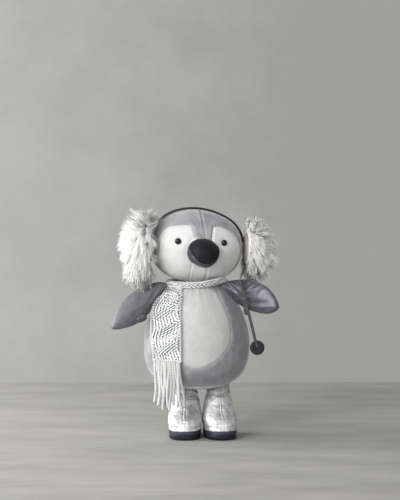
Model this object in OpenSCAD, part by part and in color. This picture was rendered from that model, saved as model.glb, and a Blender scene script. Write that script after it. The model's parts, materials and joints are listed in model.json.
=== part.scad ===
// Standing plush penguin with earmuffs, a fringed scarf, metallic boots and one toy ski pole.
// Millimetres. The penguin faces -Y, +Z is up, and z = 0 is the floor under its soles.
// Left and right are the penguin's own, so its right wing is at -X.

/* [Body] */
// Radius of the body at its widest ring
body_r = 83; // [81:1:84]
// Height of the widest ring above the floor
waist_z = 146; // [144:1:148]
// Height of the underside of the body
belly_floor_z = 76; // [75:1:77]
// Height at which the body ends under the neck
shoulder_z = 238; // [237:1:239]
// Thickness of the plush cloth
skin = 2; // [1.5:0.5:2.5]

/* [Head] */
// Half of the head's width, ear to ear
head_rx = 70.8; // [70:0.2:72]
// Radius of the head around the ear-to-ear axis
head_r = 57; // [56:0.5:57.5]
// Height of the middle of the head
head_z = 299.5; // [299:0.5:301]
// Angle by which the head is turned towards the penguin's left
head_turn = 8; // [0:1:10]
// Diameter of each eye bead
eye_d = 10; // [8:1:11]
// Radius of the beak where it meets the face
beak_r = 22.5; // [22:0.5:24]
// How far the beak stands out from the face
beak_len = 38; // [36:1:44]
// Angle that the beak droops below level
beak_droop = 8; // [5:1:12]

/* [Wings] */
// Length of a wing from its shoulder pivot to its tip
wing_len = 100; // [96:1:101]
// Half of a wing's greatest width
wing_half_w = 19.5; // [18:0.5:20]
// Share of its width that a wing is thick
wing_puff = 0.6; // [0.5:0.05:0.65]
// Angle of the right wing below level
right_wing_drop = 40; // [38:1:42]
// Angle by which the right wing reaches forwards
right_wing_reach = 12; // [10:1:14]
// Angle of the left wing below level
left_wing_drop = 19; // [18:1:22]
// Angle by which the left wing reaches forwards
left_wing_reach = 42; // [38:1:44]

/* [Boots] */
// Width of a sole
sole_w = 50; // [48:0.5:50]
// Length of a sole, heel to toe
sole_len = 78; // [74:1:80]
// Thickness of a sole
sole_h = 10; // [8:0.5:11]
// Height of the boot's top edge above the floor
boot_top_z = 64; // [60:1:66]
// How far the stance is shifted towards the penguin's left
stance_shift = 8.5; // [6:0.5:9]
// Angle by which the toe of the left boot points outwards
toe_out = 6; // [0:1:8]

/* [Accessories] */
// Diameter of the ski pole's rod
pole_d = 4.4; // [4:0.2:5]
// Diameter of the ski pole's basket disc
basket_d = 22.6; // [20:0.2:23]
// Width of the headband, front to back
band_w = 8; // [6:1:10]
// Thickness of the headband
band_t = 3; // [2.5:0.5:3.5]
// Radius of an earmuff's fur
fur_r = 46; // [42:1:46]
// Depth of an earmuff's fur, outwards from its backing
fur_depth = 46; // [42:1:48]
// Thickness of the knitted scarf
scarf_t = 3; // [2:0.5:3]
// Length of the fringe
fringe_len = 74; // [60:1:76]

/* [Hidden] */

// The body axis stands here, so that the whole figure's footprint box is centred on the origin.
axis_x = 3.5;
axis_y = 5;
far = 200;
gap = 0.4;
side_curve = 2.3;
grey = "#8d8a93";
white = "#e4e4e2";
silver = "#c9c8cc";
dark = "#26242e";
stuffing = "#f4f2ec";

// ---- Shared shapes ----

// Half of a superellipse with its middle at 0, as points from -half_len to +half_len.
function bulge(half_len, r, power, steps) =
    [for (i = [0 : steps]) let (a = 180 * i / steps, x = -cos(a))
        [r * pow(max(0, 1 - pow(abs(x), power)), 1 / power), half_len * x]];

// Everything on one side of the plane x = 0: side is -1 for the right half, 1 for the left.
module half_space(side)
    translate([side > 0 ? 0 : -far, -far, -far]) cube([far, 2 * far, 3 * far]);

// A flat outline drawn in X and Z, run forwards from the body axis.
module front_prism()
    rotate([90, 0, 0]) linear_extrude(far) children();

module at_axis() translate([axis_x, axis_y, 0]) children();

// The head and all that it wears, turned a little about the body axis.
module at_head() at_axis() rotate([0, 0, head_turn]) children();

// ---- Body ----

waist_down = waist_z - belly_floor_z;
rise = 112;
lower_curve = 2.7;
upper_curve = 1.8;
base_seam_z = 82;
body_steps = 20;
base_flat = 1.5;

function body_radius(z) = z < waist_z
    ? body_r * pow(1 - pow((waist_z - z) / waist_down, lower_curve), 1 / lower_curve)
    : body_r * pow(1 - pow((z - waist_z) / rise, upper_curve), 1 / upper_curve);

// The egg, shrunk by inset all round.
module egg(inset) {
    low = belly_floor_z + base_flat;
    side = [for (i = [0 : body_steps])
        let (z = low + (shoulder_z - low) * (1 - cos(180 * i / body_steps)) / 2)
            [max(1, body_radius(z) - inset),
             min(shoulder_z - inset, max(low + inset, z))]];
    rotate_extrude($fn = 72)
        polygon(concat([[0, low + inset]], side, [[0, shoulder_z - inset]]));
}

module neck_hole() translate([0, 0, shoulder_z - neck_depth]) cylinder(r = neck_r, h = far, $fn = 48);

// The plush cloth of the body, open at the top for the neck.
module body_skin()
    difference() {
        egg(0);
        egg(skin);
        neck_hole();
    }

belly_w = 54;
belly_top_z = 236;
belly_wide_z = 168;
belly_low_z = 118;
belly_narrowing = 0.5;

// The white bib: wide below the middle, narrow at the neck.
module belly_outline()
    polygon([for (i = [0 : 35])
        let (a = 10 * i, up = sin(a) > 0,
             tall = up ? belly_top_z - belly_wide_z : belly_wide_z - belly_low_z,
             narrow = up ? 1 - belly_narrowing * pow(sin(a), 2) : 1)
            [belly_w * narrow * cos(a), belly_wide_z + tall * sin(a)]]);

module base_zone() translate([0, 0, -1]) cylinder(r = far, h = base_seam_z + 1);

module body_panel(side)
    difference() {
        intersection() {
            body_skin();
            half_space(side);
        }
        front_prism() belly_outline();
        base_zone();
    }

module belly_panel() color(white) at_axis()
    difference() {
        intersection() {
            body_skin();
            front_prism() belly_outline();
        }
        base_zone();
    }

module body_panel_right() color(grey) at_axis() body_panel(-1);
module body_panel_left() color(grey) at_axis() body_panel(1);

module base_panel() color(grey) at_axis()
    difference() {
        intersection() {
            body_skin();
            base_zone();
        }
        leg_rods();
    }

board_lift = 5;
board_z = belly_floor_z + board_lift;
board_h = 3;
board_r = 34;
bag_h = 20;
bag_r = 32;
bag_edge = 4;

module board_shape() translate([0, 0, board_z]) cylinder(r = board_r, h = board_h, $fn = 64);

// A round bag, slack at its edges, that rests just over the tops of the rods.
module bag_shape() translate([0, 0, rod_top_z + 1]) rotate_extrude($fn = 64)
    polygon([[0, 0], [bag_r - 2 * bag_edge, 0], [bag_r - 2, bag_edge], [bag_r, bag_h / 2],
             [bag_r - 2, bag_h - bag_edge], [bag_r - 2 * bag_edge, bag_h], [0, bag_h]]);

module base_board() color("burlywood") at_axis()
    difference() {
        board_shape();
        leg_rods();
    }

module pellet_bag() color("tan") at_axis() bag_shape();

module body_filling() color(stuffing) at_axis()
    difference() {
        egg(skin);
        board_shape();
        bag_shape();
        leg_rods();
        neck_hole();
    }

// ---- Neck ----

neck_r = 17;
neck_depth = 20;
chin_flat = 3;
chin_z = head_z - head_r + chin_flat;

// A firm stub that goes down into the body and meets the flat of the chin.
module neck_plug() color(stuffing) at_axis()
    translate([0, 0, shoulder_z - neck_depth])
        cylinder(r = neck_r, h = chin_z - gap - shoulder_z + neck_depth, $fn = 48);

// ---- Legs and boots ----

rod_r = 4;
rod_top_z = 96;
insole_h = 2;
insole_inset = 4.5;
leather = 2;
upper_inset = 1.5;
shaft_r = 17.5;
toe_top_z = 36;
saddle_h = 12;
sleeve_r = 14;
sole_gap = 2;
foot_x = sole_w / 2 + sole_gap / 2;
toe_end_y = -52;
toe_y = toe_end_y + sole_w / 2;
heel_y = toe_y + sole_len - sole_w;

module at_foot(side)
    translate([stance_shift + side * foot_x, 0, 0])
        rotate([0, 0, side > 0 ? toe_out : 0]) children();

module leg_rod_shape(side) at_foot(side)
    translate([0, heel_y, sole_h]) cylinder(r = rod_r, h = rod_top_z - sole_h, $fn = 32);

module leg_rods() {
    leg_rod_shape(-1);
    leg_rod_shape(1);
}

// The foot's outline: a round toe, a round heel and straight sides.
module foot_outline(inset) {
    r = sole_w / 2 - inset;
    translate([0, toe_y]) circle(r = r, $fn = 64);
    translate([0, heel_y]) circle(r = r, $fn = 64);
    translate([-r, toe_y]) square([2 * r, heel_y - toe_y]);
}

// The bell of the shaft over the heel, and a lower dome over the toes.
module boot_volume(inset) {
    r = sole_w / 2 - upper_inset - inset;
    top_r = shaft_r - inset;
    toe_top = toe_top_z - inset;
    translate([0, heel_y, 0]) rotate_extrude($fn = 64)
        polygon([[0, sole_h], [r, sole_h], [r - 0.5, 22], [r - 2, 34], [top_r + 1, 52],
                 [top_r, boot_top_z], [0, boot_top_z]]);
    translate([0, toe_y, 0]) rotate_extrude($fn = 64)
        polygon([[0, sole_h], [r, sole_h], [r, 17], [r - 2.5, 24], [r - 8, 31],
                 [r - 15, toe_top - 1], [0, toe_top]]);
    translate([-r, toe_y, sole_h]) cube([2 * r, heel_y - toe_y, saddle_h]);
}

module boot_upper(side) color(silver) at_axis() at_foot(side)
    difference() {
        boot_volume(0);
        boot_volume(leather);
    }

module boot_sole(side) color(dark) at_axis() at_foot(side)
    linear_extrude(sole_h) foot_outline(0);

module boot_insole(side) color("burlywood") at_axis()
    difference() {
        at_foot(side) translate([0, 0, sole_h])
            linear_extrude(insole_h) foot_outline(insole_inset);
        leg_rod_shape(side);
    }

module boot_filling(side) color(stuffing) at_axis()
    difference() {
        at_foot(side) boot_volume(leather);
        at_foot(side) translate([0, 0, sole_h - 1])
            linear_extrude(insole_h + 1) foot_outline(insole_inset);
        leg_rod_shape(side);
    }

module leg_sleeve(side) color(silver) at_axis()
    difference() {
        at_foot(side) translate([0, heel_y, boot_top_z])
            cylinder(r = sleeve_r, h = base_seam_z - boot_top_z, $fn = 48);
        egg(0);
        leg_rod_shape(side);
    }

module leg_rod(side) color("burlywood") at_axis() leg_rod_shape(side);

// ---- Head ----

head_steps = 24;

// The head turned about its ear-to-ear axis, shrunk by inset, and flattened where it sits on the neck.
module head_volume(inset)
    translate([0, 0, head_z])
        difference() {
            rotate([0, 90, 0]) rotate_extrude($fn = 72)
                polygon(bulge(head_rx - inset, head_r - inset, side_curve, head_steps));
            translate([-far, -far, -far - head_r + chin_flat + inset]) cube([2 * far, 2 * far, far]);
        }

module head_skin()
    difference() {
        head_volume(0);
        head_volume(skin);
    }

// One lobe of the white face. The grey brow comes down between the two lobes as a widow's peak.
lobe = [[0, 8], [11, 13], [13, 20], [16, 32], [21, 34.5], [36, 34], [49, 28], [59.5, 17], [65.5, 3],
        [66, -14], [60.5, -31], [48, -46], [38, -56], [0, -60]];

module face_outline(side)
    translate([0, head_z]) polygon([for (p = lobe) [side * p[0], p[1]]]);

module head_panel(side)
    difference() {
        intersection() {
            head_skin();
            half_space(side);
        }
        front_prism() face_outline(side);
    }

module face_panel(side)
    difference() {
        intersection() {
            head_skin();
            front_prism() face_outline(side);
        }
        eye_shape(side);
    }

module head_panel_right() color(grey) at_head() head_panel(-1);
module head_panel_left() color(grey) at_head() head_panel(1);
module face_panel_right() color(white) at_head() face_panel(-1);
module face_panel_left() color(white) at_head() face_panel(1);

module head_filling() color(stuffing) at_head()
    difference() {
        head_volume(skin);
        for (side = [-1, 1]) {
            eye_shape(side);
            washer_shape(side);
        }
    }

// ---- Eyes ----

eye_x = 36;
eye_up = 9.5;
eye_stem_r = 1.8;
eye_stem_len = 13;
washer_r = 6;
washer_t = 1.5;
eye_turn = 30;
eye_sunk = 1.2;
eye_rim = 1;
washer_depth = 9;
eye_y = -head_r * pow(1 - pow(eye_x / head_rx, side_curve), 1 / side_curve) * cos(asin(eye_up / head_r));

// The eye's own frame: +Z points out of the face.
module at_eye(side)
    translate([side * eye_x, eye_y, head_z + eye_up])
        rotate([0, 0, side * eye_turn]) rotate([90, 0, 0]) children();

module eye_shape(side) at_eye(side) {
    intersection() {
        translate([0, 0, -eye_sunk]) sphere(r = eye_d / 2, $fn = 48);
        translate([0, 0, -eye_rim]) cylinder(r = eye_d, h = eye_d, $fn = 32);
    }
    translate([0, 0, -eye_stem_len]) cylinder(r = eye_stem_r, h = eye_stem_len, $fn = 32);
}

module washer_shape(side) at_eye(side)
    translate([0, 0, -washer_depth]) cylinder(r = washer_r, h = washer_t, $fn = 32);

module eye(side) color("black") at_head() eye_shape(side);

module eye_washer(side) color("white") at_head()
    difference() {
        washer_shape(side);
        at_eye(side) translate([0, 0, -far / 2]) cylinder(r = eye_stem_r, h = far, $fn = 32);
    }

// ---- Beak ----

beak_x = 1.5;
beak_z = head_z - 5;
beak_root = 16;
beak_seam_drop = 9;
beak_y = -55.5;
beak_bluntness = 0.8;

// The beak's own frame: +Z runs from the face out to the tip.
module at_beak()
    translate([beak_x, beak_y, beak_z]) rotate([90 + beak_droop, 0, 0]) children();

// A blunt egg-shaped beak, shrunk by inset, that starts inside the head.
module beak_volume(inset) at_beak()
    rotate_extrude($fn = 64)
        polygon(concat([[0, -beak_root], [beak_r - inset, -beak_root]],
            [for (i = [0 : 10]) let (a = 9 * i)
                [(beak_r - inset) * pow(cos(a), beak_bluntness), (beak_len - inset) * sin(a)]]));

// The seam divides a deep upper shell from a shallow lower one.
module beak_seam_zone() at_beak()
    translate([-far / 2, -far - beak_seam_drop, -far / 2]) cube([far, far, far]);

module beak_skin()
    difference() {
        beak_volume(0);
        beak_volume(skin);
        head_volume(0);
    }

module beak_upper() color(dark) at_head()
    difference() {
        beak_skin();
        beak_seam_zone();
    }

module beak_lower() color(dark) at_head()
    intersection() {
        beak_skin();
        beak_seam_zone();
    }

module beak_filling() color(stuffing) at_head()
    difference() {
        beak_volume(skin);
        head_volume(0);
    }

// ---- Earmuffs ----

band_gap = 0.6;
band_start = 4;
band_steps = 44;
pad_r = 20;
pad_t = 5;
pad_gap = 0.2;
pad_x = head_rx + band_gap + band_t + pad_gap;
fur_steps = 9;
fur_back = -24;
fur_bow = 0.71;

function band_point(rx, rz, a) =
    [rx * sign(cos(a)) * pow(abs(cos(a)), 2 / side_curve), rz * pow(sin(a), 2 / side_curve)];

module headband() color("black") at_head()
    translate([0, band_w / 2, head_z]) rotate([90, 0, 0]) linear_extrude(band_w)
        polygon(concat(
            [for (i = [0 : band_steps])
                band_point(head_rx + band_gap, head_r + band_gap,
                           band_start + (180 - 2 * band_start) * i / band_steps)],
            [for (i = [band_steps : -1 : 0])
                band_point(head_rx + band_gap + band_t, head_r + band_gap + band_t,
                           band_start + (180 - 2 * band_start) * i / band_steps)]));

module at_ear(side) translate([side * pad_x, 0, head_z]) rotate([0, side * 90, 0]) children();

module muff_pad(side) color("black") at_head()
    at_ear(side) cylinder(r = pad_r, h = pad_t, $fn = 48);

// A ball of fur, flat where it meets the pad.
module muff_fur(side) color("ivory") at_head()
    at_ear(side) translate([0, 0, pad_t]) rotate_extrude($fn = 64)
        polygon(concat([[0, 0]],
            [for (i = [0 : fur_steps]) let (a = fur_back + (90 - fur_back) * i / fur_steps)
                [fur_r * cos(a), fur_depth * (1 - fur_bow + fur_bow * sin(a))]]));

// ---- Wings ----

shoulder_x = 63;
left_shoulder_x = 60;
left_lift = 5;
wing_y = -10;
wing_z = 236;
root_r = 11;
tip_r = 6;
tip_drop = 3;
broad_at = 0.42;
broad_drop = 6;
slim_at = 0.66;
slim_drop = 8;
slim_share = 0.9;
wire_r = 1;
wire_share = 0.8;
thumb_r = 3.2;
thumb_end_r = 2.6;
thumb_len = 8;
thumb_slant = 60;
right_thumb_at = 0.54;
left_thumb_at = 0.4;

// The wing's own frame: +X runs to the tip, +Z to its upper edge, and -Y faces forwards.
module at_right_wing()
    translate([-shoulder_x, wing_y, wing_z]) mirror([1, 0, 0])
        rotate([0, 0, -right_wing_reach]) rotate([0, right_wing_drop, 0]) children();

module at_left_wing()
    translate([left_shoulder_x, wing_y, wing_z + left_lift])
        rotate([0, 0, -left_wing_reach]) rotate([0, left_wing_drop, 0]) children();

module wing_ball(u, v, r) translate([u, 0, v]) scale([1, wing_puff, 1]) sphere(r = r, $fn = 24);

// A stuffed leaf: round at the shoulder, broad in the middle and slim at the tip.
module wing_volume(inset)
    hull() {
        wing_ball(0, 0, root_r - inset);
        wing_ball(wing_len * broad_at, -broad_drop, wing_half_w - inset);
        wing_ball(wing_len * slim_at, -slim_drop, wing_half_w * slim_share - inset);
        wing_ball(wing_len - tip_r, -tip_drop, tip_r - inset);
    }

module wire_shape() rotate([0, 90, 0]) cylinder(r = wire_r, h = wing_len * wire_share, $fn = 24);

module wing_cover(front)
    difference() {
        intersection() {
            wing_volume(0);
            translate([-far, front ? -far : 0, -far]) cube([2 * far, far, 2 * far]);
        }
        wing_volume(skin);
    }

module wing_filling()
    difference() {
        wing_volume(skin);
        wire_shape();
    }

// A small stuffed thumb sewn to the front of the wing's lower edge, so far along the wing.
module thumb(along)
    translate([along, -wing_half_w * wing_puff + 1, -wing_half_w - 2]) rotate([0, thumb_slant, 0])
        hull() {
            sphere(r = thumb_r, $fn = 24);
            translate([thumb_len, 0, 0]) sphere(r = thumb_end_r, $fn = 24);
        }

module right_wing_front() color(grey) at_axis() at_right_wing() wing_cover(true);
module right_wing_back() color(grey) at_axis() at_right_wing() wing_cover(false);
module right_wing_filling() color(stuffing) at_axis() at_right_wing() wing_filling();
module right_wing_wire() color("silver") at_axis() at_right_wing() wire_shape();
module right_thumb() color(grey) at_axis() at_right_wing() thumb(wing_len * right_thumb_at);
module left_wing_front() color(grey) at_axis() at_left_wing() wing_cover(true);
module left_wing_back() color(grey) at_axis() at_left_wing() wing_cover(false);
module left_wing_filling() color(stuffing) at_axis() at_left_wing() wing_filling();
module left_wing_wire() color("silver") at_axis() at_left_wing() wire_shape();
module left_thumb() color(grey) at_axis() at_left_wing() thumb(wing_len * left_thumb_at);

// ---- Ski pole ----

pole_y = -48;
pole_top = [69, pole_y, 246];
pole_foot = [94, pole_y, 145];
pole_run = pole_foot - pole_top;
pole_len = norm(pole_run);
pole_tilt = atan2(pole_run[0], -pole_run[2]);
grip_down = 24;
loop_gap = 0.9;
loop_t = 1.3;
loop_h = 2;
stitch_r = 0.9;
stitch_len = 18;
basket_t = 8;
basket_edge = 2;
cap_h = 4;
cap_rim = 0.6;

// The pole's own frame: +Z runs down the rod from its top end.
module at_pole() translate(pole_top) rotate([0, 180 - pole_tilt, 0]) children();

module ski_pole_rod() color("dimgray") at_axis()
    at_pole() cylinder(d = pole_d, h = pole_len, $fn = 32);

module ski_pole_cap() color("dimgray") at_axis()
    at_pole() translate([0, 0, -cap_h]) cylinder(d = pole_d + 2 * cap_rim, h = cap_h, $fn = 32);

// A thick felt disc that faces forwards, with the end of the rod sunk into its front.
module ski_pole_basket() color("black") at_axis()
    difference() {
        translate(pole_foot + [0, pole_d / 2, 0]) rotate([90, 0, 0]) translate([0, 0, -basket_t / 2])
            rotate_extrude($fn = 64)
                polygon([[0, 0], [basket_d / 2 - basket_edge, 0], [basket_d / 2, basket_edge],
                         [basket_d / 2, basket_t - basket_edge],
                         [basket_d / 2 - basket_edge, basket_t], [0, basket_t]]);
        at_pole() cylinder(d = pole_d, h = pole_len, $fn = 32);
    }

grip = pole_top + pole_run * grip_down / pole_len;

// A loose loop of thread round the rod, and the stitch that holds it to the wing behind it.
module ski_pole_tie() color("silver") at_axis()
    difference() {
        union() {
            at_pole() translate([0, 0, grip_down - loop_h / 2])
                cylinder(r = pole_d / 2 + loop_gap + loop_t, h = loop_h, $fn = 32);
            translate(grip) rotate([-90, 0, 0]) cylinder(r = stitch_r, h = stitch_len, $fn = 24);
        }
        at_pole() cylinder(r = pole_d / 2 + loop_gap, h = pole_len, $fn = 32);
        at_left_wing() wing_volume(0);
    }

// ---- Scarf ----

collar_in = neck_r + 3;
collar_out = 50;
collar_top_z = 247;
tail_end_z = 125;
tail_off = 1;
drape_steps = 12;
tuck = 2;
fringe_x = -68;
fringe_w = 33;

// The wrap round the neck, between the chin and the shoulders.
module scarf_collar() color(white) at_axis()
    rotate_extrude($fn = 72)
        polygon([[collar_in, shoulder_z + gap], [collar_out - 3, shoulder_z + gap],
                 [collar_out, shoulder_z + 3], [collar_out - 2, collar_top_z - 2],
                 [collar_out - 8, collar_top_z], [collar_in + 10, collar_top_z - 3],
                 [collar_in, chin_z - 3]]);

// A cloth layer that follows the front of the body from z_low up to the shoulders.
module draped_layer(z_low)
    rotate_extrude($fn = 72)
        polygon(concat(
            [for (i = [0 : drape_steps])
                let (z = z_low + (shoulder_z - tuck - z_low) * i / drape_steps)
                [body_radius(z) + tail_off, z]],
            [for (i = [drape_steps : -1 : 0])
                let (z = z_low + (shoulder_z - tuck - z_low) * i / drape_steps)
                [body_radius(z) + tail_off + scarf_t, z]]));

tail_outline = [[-27, shoulder_z], [-29, 216], [-32, 185], [-34, 153], [-35, tail_end_z],
                [-68, tail_end_z], [-71, 145], [-70, 169], [-66, 188], [-58, 206], [-48, 222],
                [-42, shoulder_z]];

module scarf_tail() color(white) at_axis()
    intersection() {
        draped_layer(tail_end_z);
        front_prism() polygon(tail_outline);
    }

// The fringe hangs straight down from the end of the tail.
module scarf_fringe() color(white) at_axis()
    translate([0, 0, tail_end_z - fringe_len])
        intersection() {
            difference() {
                cylinder(r = body_radius(tail_end_z) + tail_off + scarf_t, h = fringe_len, $fn = 72);
                translate([0, 0, -1])
                    cylinder(r = body_radius(tail_end_z) + tail_off, h = fringe_len + 2, $fn = 72);
            }
            translate([fringe_x, -far, 0]) cube([fringe_w, far, fringe_len]);
        }

// ---- Output ----

belly_panel();
body_panel_right();
body_panel_left();
base_panel();
body_filling();
base_board();
pellet_bag();
neck_plug();
leg_sleeve(-1);  // right_leg_sleeve
leg_sleeve(1);  // left_leg_sleeve
leg_rod(-1);  // right_leg_rod
leg_rod(1);  // left_leg_rod
boot_upper(-1);  // right_boot_upper
boot_upper(1);  // left_boot_upper
boot_sole(-1);  // right_boot_sole
boot_sole(1);  // left_boot_sole
boot_insole(-1);  // right_boot_insole
boot_insole(1);  // left_boot_insole
boot_filling(-1);  // right_boot_filling
boot_filling(1);  // left_boot_filling
scarf_collar();
scarf_tail();
scarf_fringe();
right_wing_front();
right_wing_back();
right_wing_filling();
right_wing_wire();
right_thumb();
left_wing_front();
left_wing_back();
left_wing_filling();
left_wing_wire();
left_thumb();
ski_pole_tie();
ski_pole_rod();
ski_pole_basket();
ski_pole_cap();
head_panel_right();
head_panel_left();
face_panel_right();
face_panel_left();
head_filling();
beak_upper();
beak_lower();
beak_filling();
eye(-1);  // right_eye
eye(1);  // left_eye
eye_washer(-1);  // right_eye_washer
eye_washer(1);  // left_eye_washer
headband();
muff_pad(-1);  // right_muff_pad
muff_pad(1);  // left_muff_pad
muff_fur(-1);  // right_muff_fur
muff_fur(1);  // left_muff_fur
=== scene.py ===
import json
import math

import bpy
import numpy as np
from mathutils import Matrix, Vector


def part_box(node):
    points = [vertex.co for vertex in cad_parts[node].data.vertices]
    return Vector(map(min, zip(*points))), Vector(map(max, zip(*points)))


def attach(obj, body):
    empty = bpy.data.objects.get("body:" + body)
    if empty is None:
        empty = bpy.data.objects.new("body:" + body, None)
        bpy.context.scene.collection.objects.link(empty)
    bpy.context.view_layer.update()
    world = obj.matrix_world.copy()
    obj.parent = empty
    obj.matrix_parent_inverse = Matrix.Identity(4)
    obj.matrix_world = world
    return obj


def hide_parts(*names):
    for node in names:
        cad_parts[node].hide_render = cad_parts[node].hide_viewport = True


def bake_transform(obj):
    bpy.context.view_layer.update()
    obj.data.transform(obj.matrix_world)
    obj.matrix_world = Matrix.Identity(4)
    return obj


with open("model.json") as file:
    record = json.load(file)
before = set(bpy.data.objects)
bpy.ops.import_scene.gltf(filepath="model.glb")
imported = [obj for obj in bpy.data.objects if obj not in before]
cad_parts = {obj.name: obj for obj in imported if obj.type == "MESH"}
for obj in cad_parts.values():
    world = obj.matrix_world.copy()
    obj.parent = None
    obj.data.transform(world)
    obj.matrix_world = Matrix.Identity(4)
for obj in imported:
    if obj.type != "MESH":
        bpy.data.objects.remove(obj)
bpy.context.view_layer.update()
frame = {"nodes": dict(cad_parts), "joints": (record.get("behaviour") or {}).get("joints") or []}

MM = 0.001


# ---- places taken from the frame

def box_mm(node):
    """Lowest and highest corner of a CAD node, in millimetres."""
    lo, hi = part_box(node)
    return np.array(lo) / MM, np.array(hi) / MM


def joint(name):
    """A joint's pivot in millimetres and its axis."""
    found = next(j for j in frame["joints"] if j["name"] == name)
    return np.array(found["pos_m"]) / MM, np.array(found["axis"])


def cad_points(node):
    """The points of a CAD node, in millimetres."""
    return np.array([v.co for v in frame["nodes"][node].data.vertices]) / MM


COVER = 2.0  # thickness of the plush round the fillings
BAG_LO, BAG_HI = box_mm("pellet_bag")
AXIS = (BAG_LO[:2] + BAG_HI[:2]) / 2
EAR_PIVOT, EAR_AXIS = joint("earmuff_tilt")
HEAD_TURN = math.atan2(EAR_AXIS[1], EAR_AXIS[0])
HEAD_Z = EAR_PIVOT[2]
BODY_LO, BODY_HI = box_mm("body_filling")
BODY_R = (BODY_HI[0] - BODY_LO[0]) / 2 + COVER
SHOULDER_Z = box_mm("body_panel_left")[1][2]
SIDE_NAME = {-1: "right", 1: "left"}


# ---- numpy helpers

GRADIENT_COUNT = 4096
GRADIENTS = np.random.default_rng(5).normal(size=(GRADIENT_COUNT, 3))
GRADIENTS /= np.linalg.norm(GRADIENTS, axis=1, keepdims=True)
LATTICE_KEYS = np.array([73856093, 19349663, 83492791])


def noise(p):
    """Smooth gradient noise at points p, about -0.7 to 0.7, with features one unit apart."""
    cell = np.floor(p).astype(np.int64)
    f = p - cell
    s = f * f * f * (f * (f * 6 - 15) + 10)
    total = np.zeros(len(p))
    for corner in np.ndindex(2, 2, 2):
        a, b, c = ((cell + corner) * LATTICE_KEYS).T
        g = GRADIENTS[(a ^ b ^ c) & (GRADIENT_COUNT - 1)]
        total += np.where(corner, s, 1 - s).prod(1) * ((f - corner) * g).sum(1)
    return total


def noise_at(x, y, z, shift=0.0):
    """Noise at points given by their three coordinates, any of which may be one number."""
    return noise(np.stack(np.broadcast_arrays(x, y, z), -1) + shift)


def fbm(p, octaves=2):
    """Several octaves of noise."""
    return sum(noise(p * 2 ** k + 17.3 * k) / 2 ** k for k in range(octaves))


def ridged(p, octaves=2):
    """Noise with sharp folds, 0 to about 1."""
    total = sum((1 - np.abs(noise(p * 2 ** k + 9.1 * k)) * 2.2) / 2 ** k for k in range(octaves))
    return np.clip(total / 1.5, 0, 1)


def bump(x, width):
    """A soft bell of the given half width."""
    return np.exp(-(x / width) ** 2)


def step(x, lo, hi):
    """Smooth step from 0 at lo to 1 at hi."""
    t = np.clip((x - lo) / (hi - lo), 0, 1)
    return t * t * (3 - 2 * t)


def unit(v):
    """Vectors brought to length one."""
    return v / np.maximum(np.linalg.norm(v, axis=-1, keepdims=True), 1e-12)


def around(count):
    """Equal angles round a full circle."""
    return np.arange(count) * 2 * math.pi / count


def signed_power(x, exponent):
    """A power that keeps the sign, for outlines between an ellipse and a box."""
    return np.sign(x) * np.abs(x) ** exponent


def grid(rows, columns):
    """Row and column values spread over a grid."""
    return np.meshgrid(rows, columns, indexing="ij")


def points(x, y, z):
    """A list of points from three arrays of coordinates."""
    return np.stack([x, y, z], -1).reshape(-1, 3)


def turn(p, angle, axis):
    """Points turned by an angle about a coordinate axis."""
    c, s = math.cos(angle), math.sin(angle)
    i, j = {"x": (1, 2), "y": (2, 0), "z": (0, 1)}[axis]
    q = np.array(p, float)
    q[:, i], q[:, j] = p[:, i] * c - p[:, j] * s, p[:, i] * s + p[:, j] * c
    return q


def rounded(outline, passes=3):
    """A closed outline with its corners cut round."""
    p = np.array(outline, float)
    for _ in range(passes):
        q = np.roll(p, -1, axis=0)
        p = np.stack([p * 0.75 + q * 0.25, p * 0.25 + q * 0.75], axis=1).reshape(-1, 2)
    return p


def rounded_line(line, passes=3):
    """An open line with its corners cut round and its ends kept."""
    p = np.array(line, float)
    for _ in range(passes):
        cut = np.stack([p[:-1] * 0.75 + p[1:] * 0.25, p[:-1] * 0.25 + p[1:] * 0.75], axis=1)
        p = np.concatenate([p[:1], cut.reshape(-1, 2), p[-1:]])
    return p


def lathe(profile, columns):
    """Points of a profile of radius and height, turned about the third axis."""
    a = around(columns)
    radius, height = profile[:, :1], profile[:, 1:]
    return points(radius * np.cos(a), radius * np.sin(a), np.repeat(height, columns, 1))


def outline_distance(p, outline):
    """Signed distance of flat points to a closed outline: below 0 inside."""
    x, y = p.T
    best = np.full(len(p), 1e9)
    inside = np.zeros(len(p), bool)
    for (ax, ay), (bx, by) in zip(outline, np.roll(outline, -1, axis=0)):
        ex, ey = bx - ax, by - ay
        t = np.clip(((x - ax) * ex + (y - ay) * ey) / (ex * ex + ey * ey + 1e-12), 0, 1)
        best = np.minimum(best, (x - ax - t * ex) ** 2 + (y - ay - t * ey) ** 2)
        crosses = (ay > y) != (by > y)
        inside ^= crosses & (x < (y - ay) * ex / (ey if abs(ey) > 1e-9 else 1e-9) + ax)
    return np.where(inside, -np.sqrt(best), np.sqrt(best))


def grid_faces(rows, cols, wrap=True, loop=False):
    """Quads of a grid stored row by row. wrap closes each row, and loop joins the last row on."""
    r, c = grid(np.arange(rows if loop else rows - 1), np.arange(cols if wrap else cols - 1))
    n, m = (c + 1) % cols, (r + 1) % rows
    return np.stack([r * cols + c, r * cols + n, m * cols + n, m * cols + c], -1).reshape(-1, 4)


def triangles(quads):
    """Two triangles from each quad."""
    return np.concatenate([quads[:, [0, 1, 2]], quads[:, [0, 2, 3]]])


def normals(co, tris):
    """Vertex normals, weighted by area."""
    n = np.zeros_like(co)
    face = np.cross(co[tris[:, 1]] - co[tris[:, 0]], co[tris[:, 2]] - co[tris[:, 0]])
    for k in range(3):
        np.add.at(n, tris[:, k], face)
    return unit(n)


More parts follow.
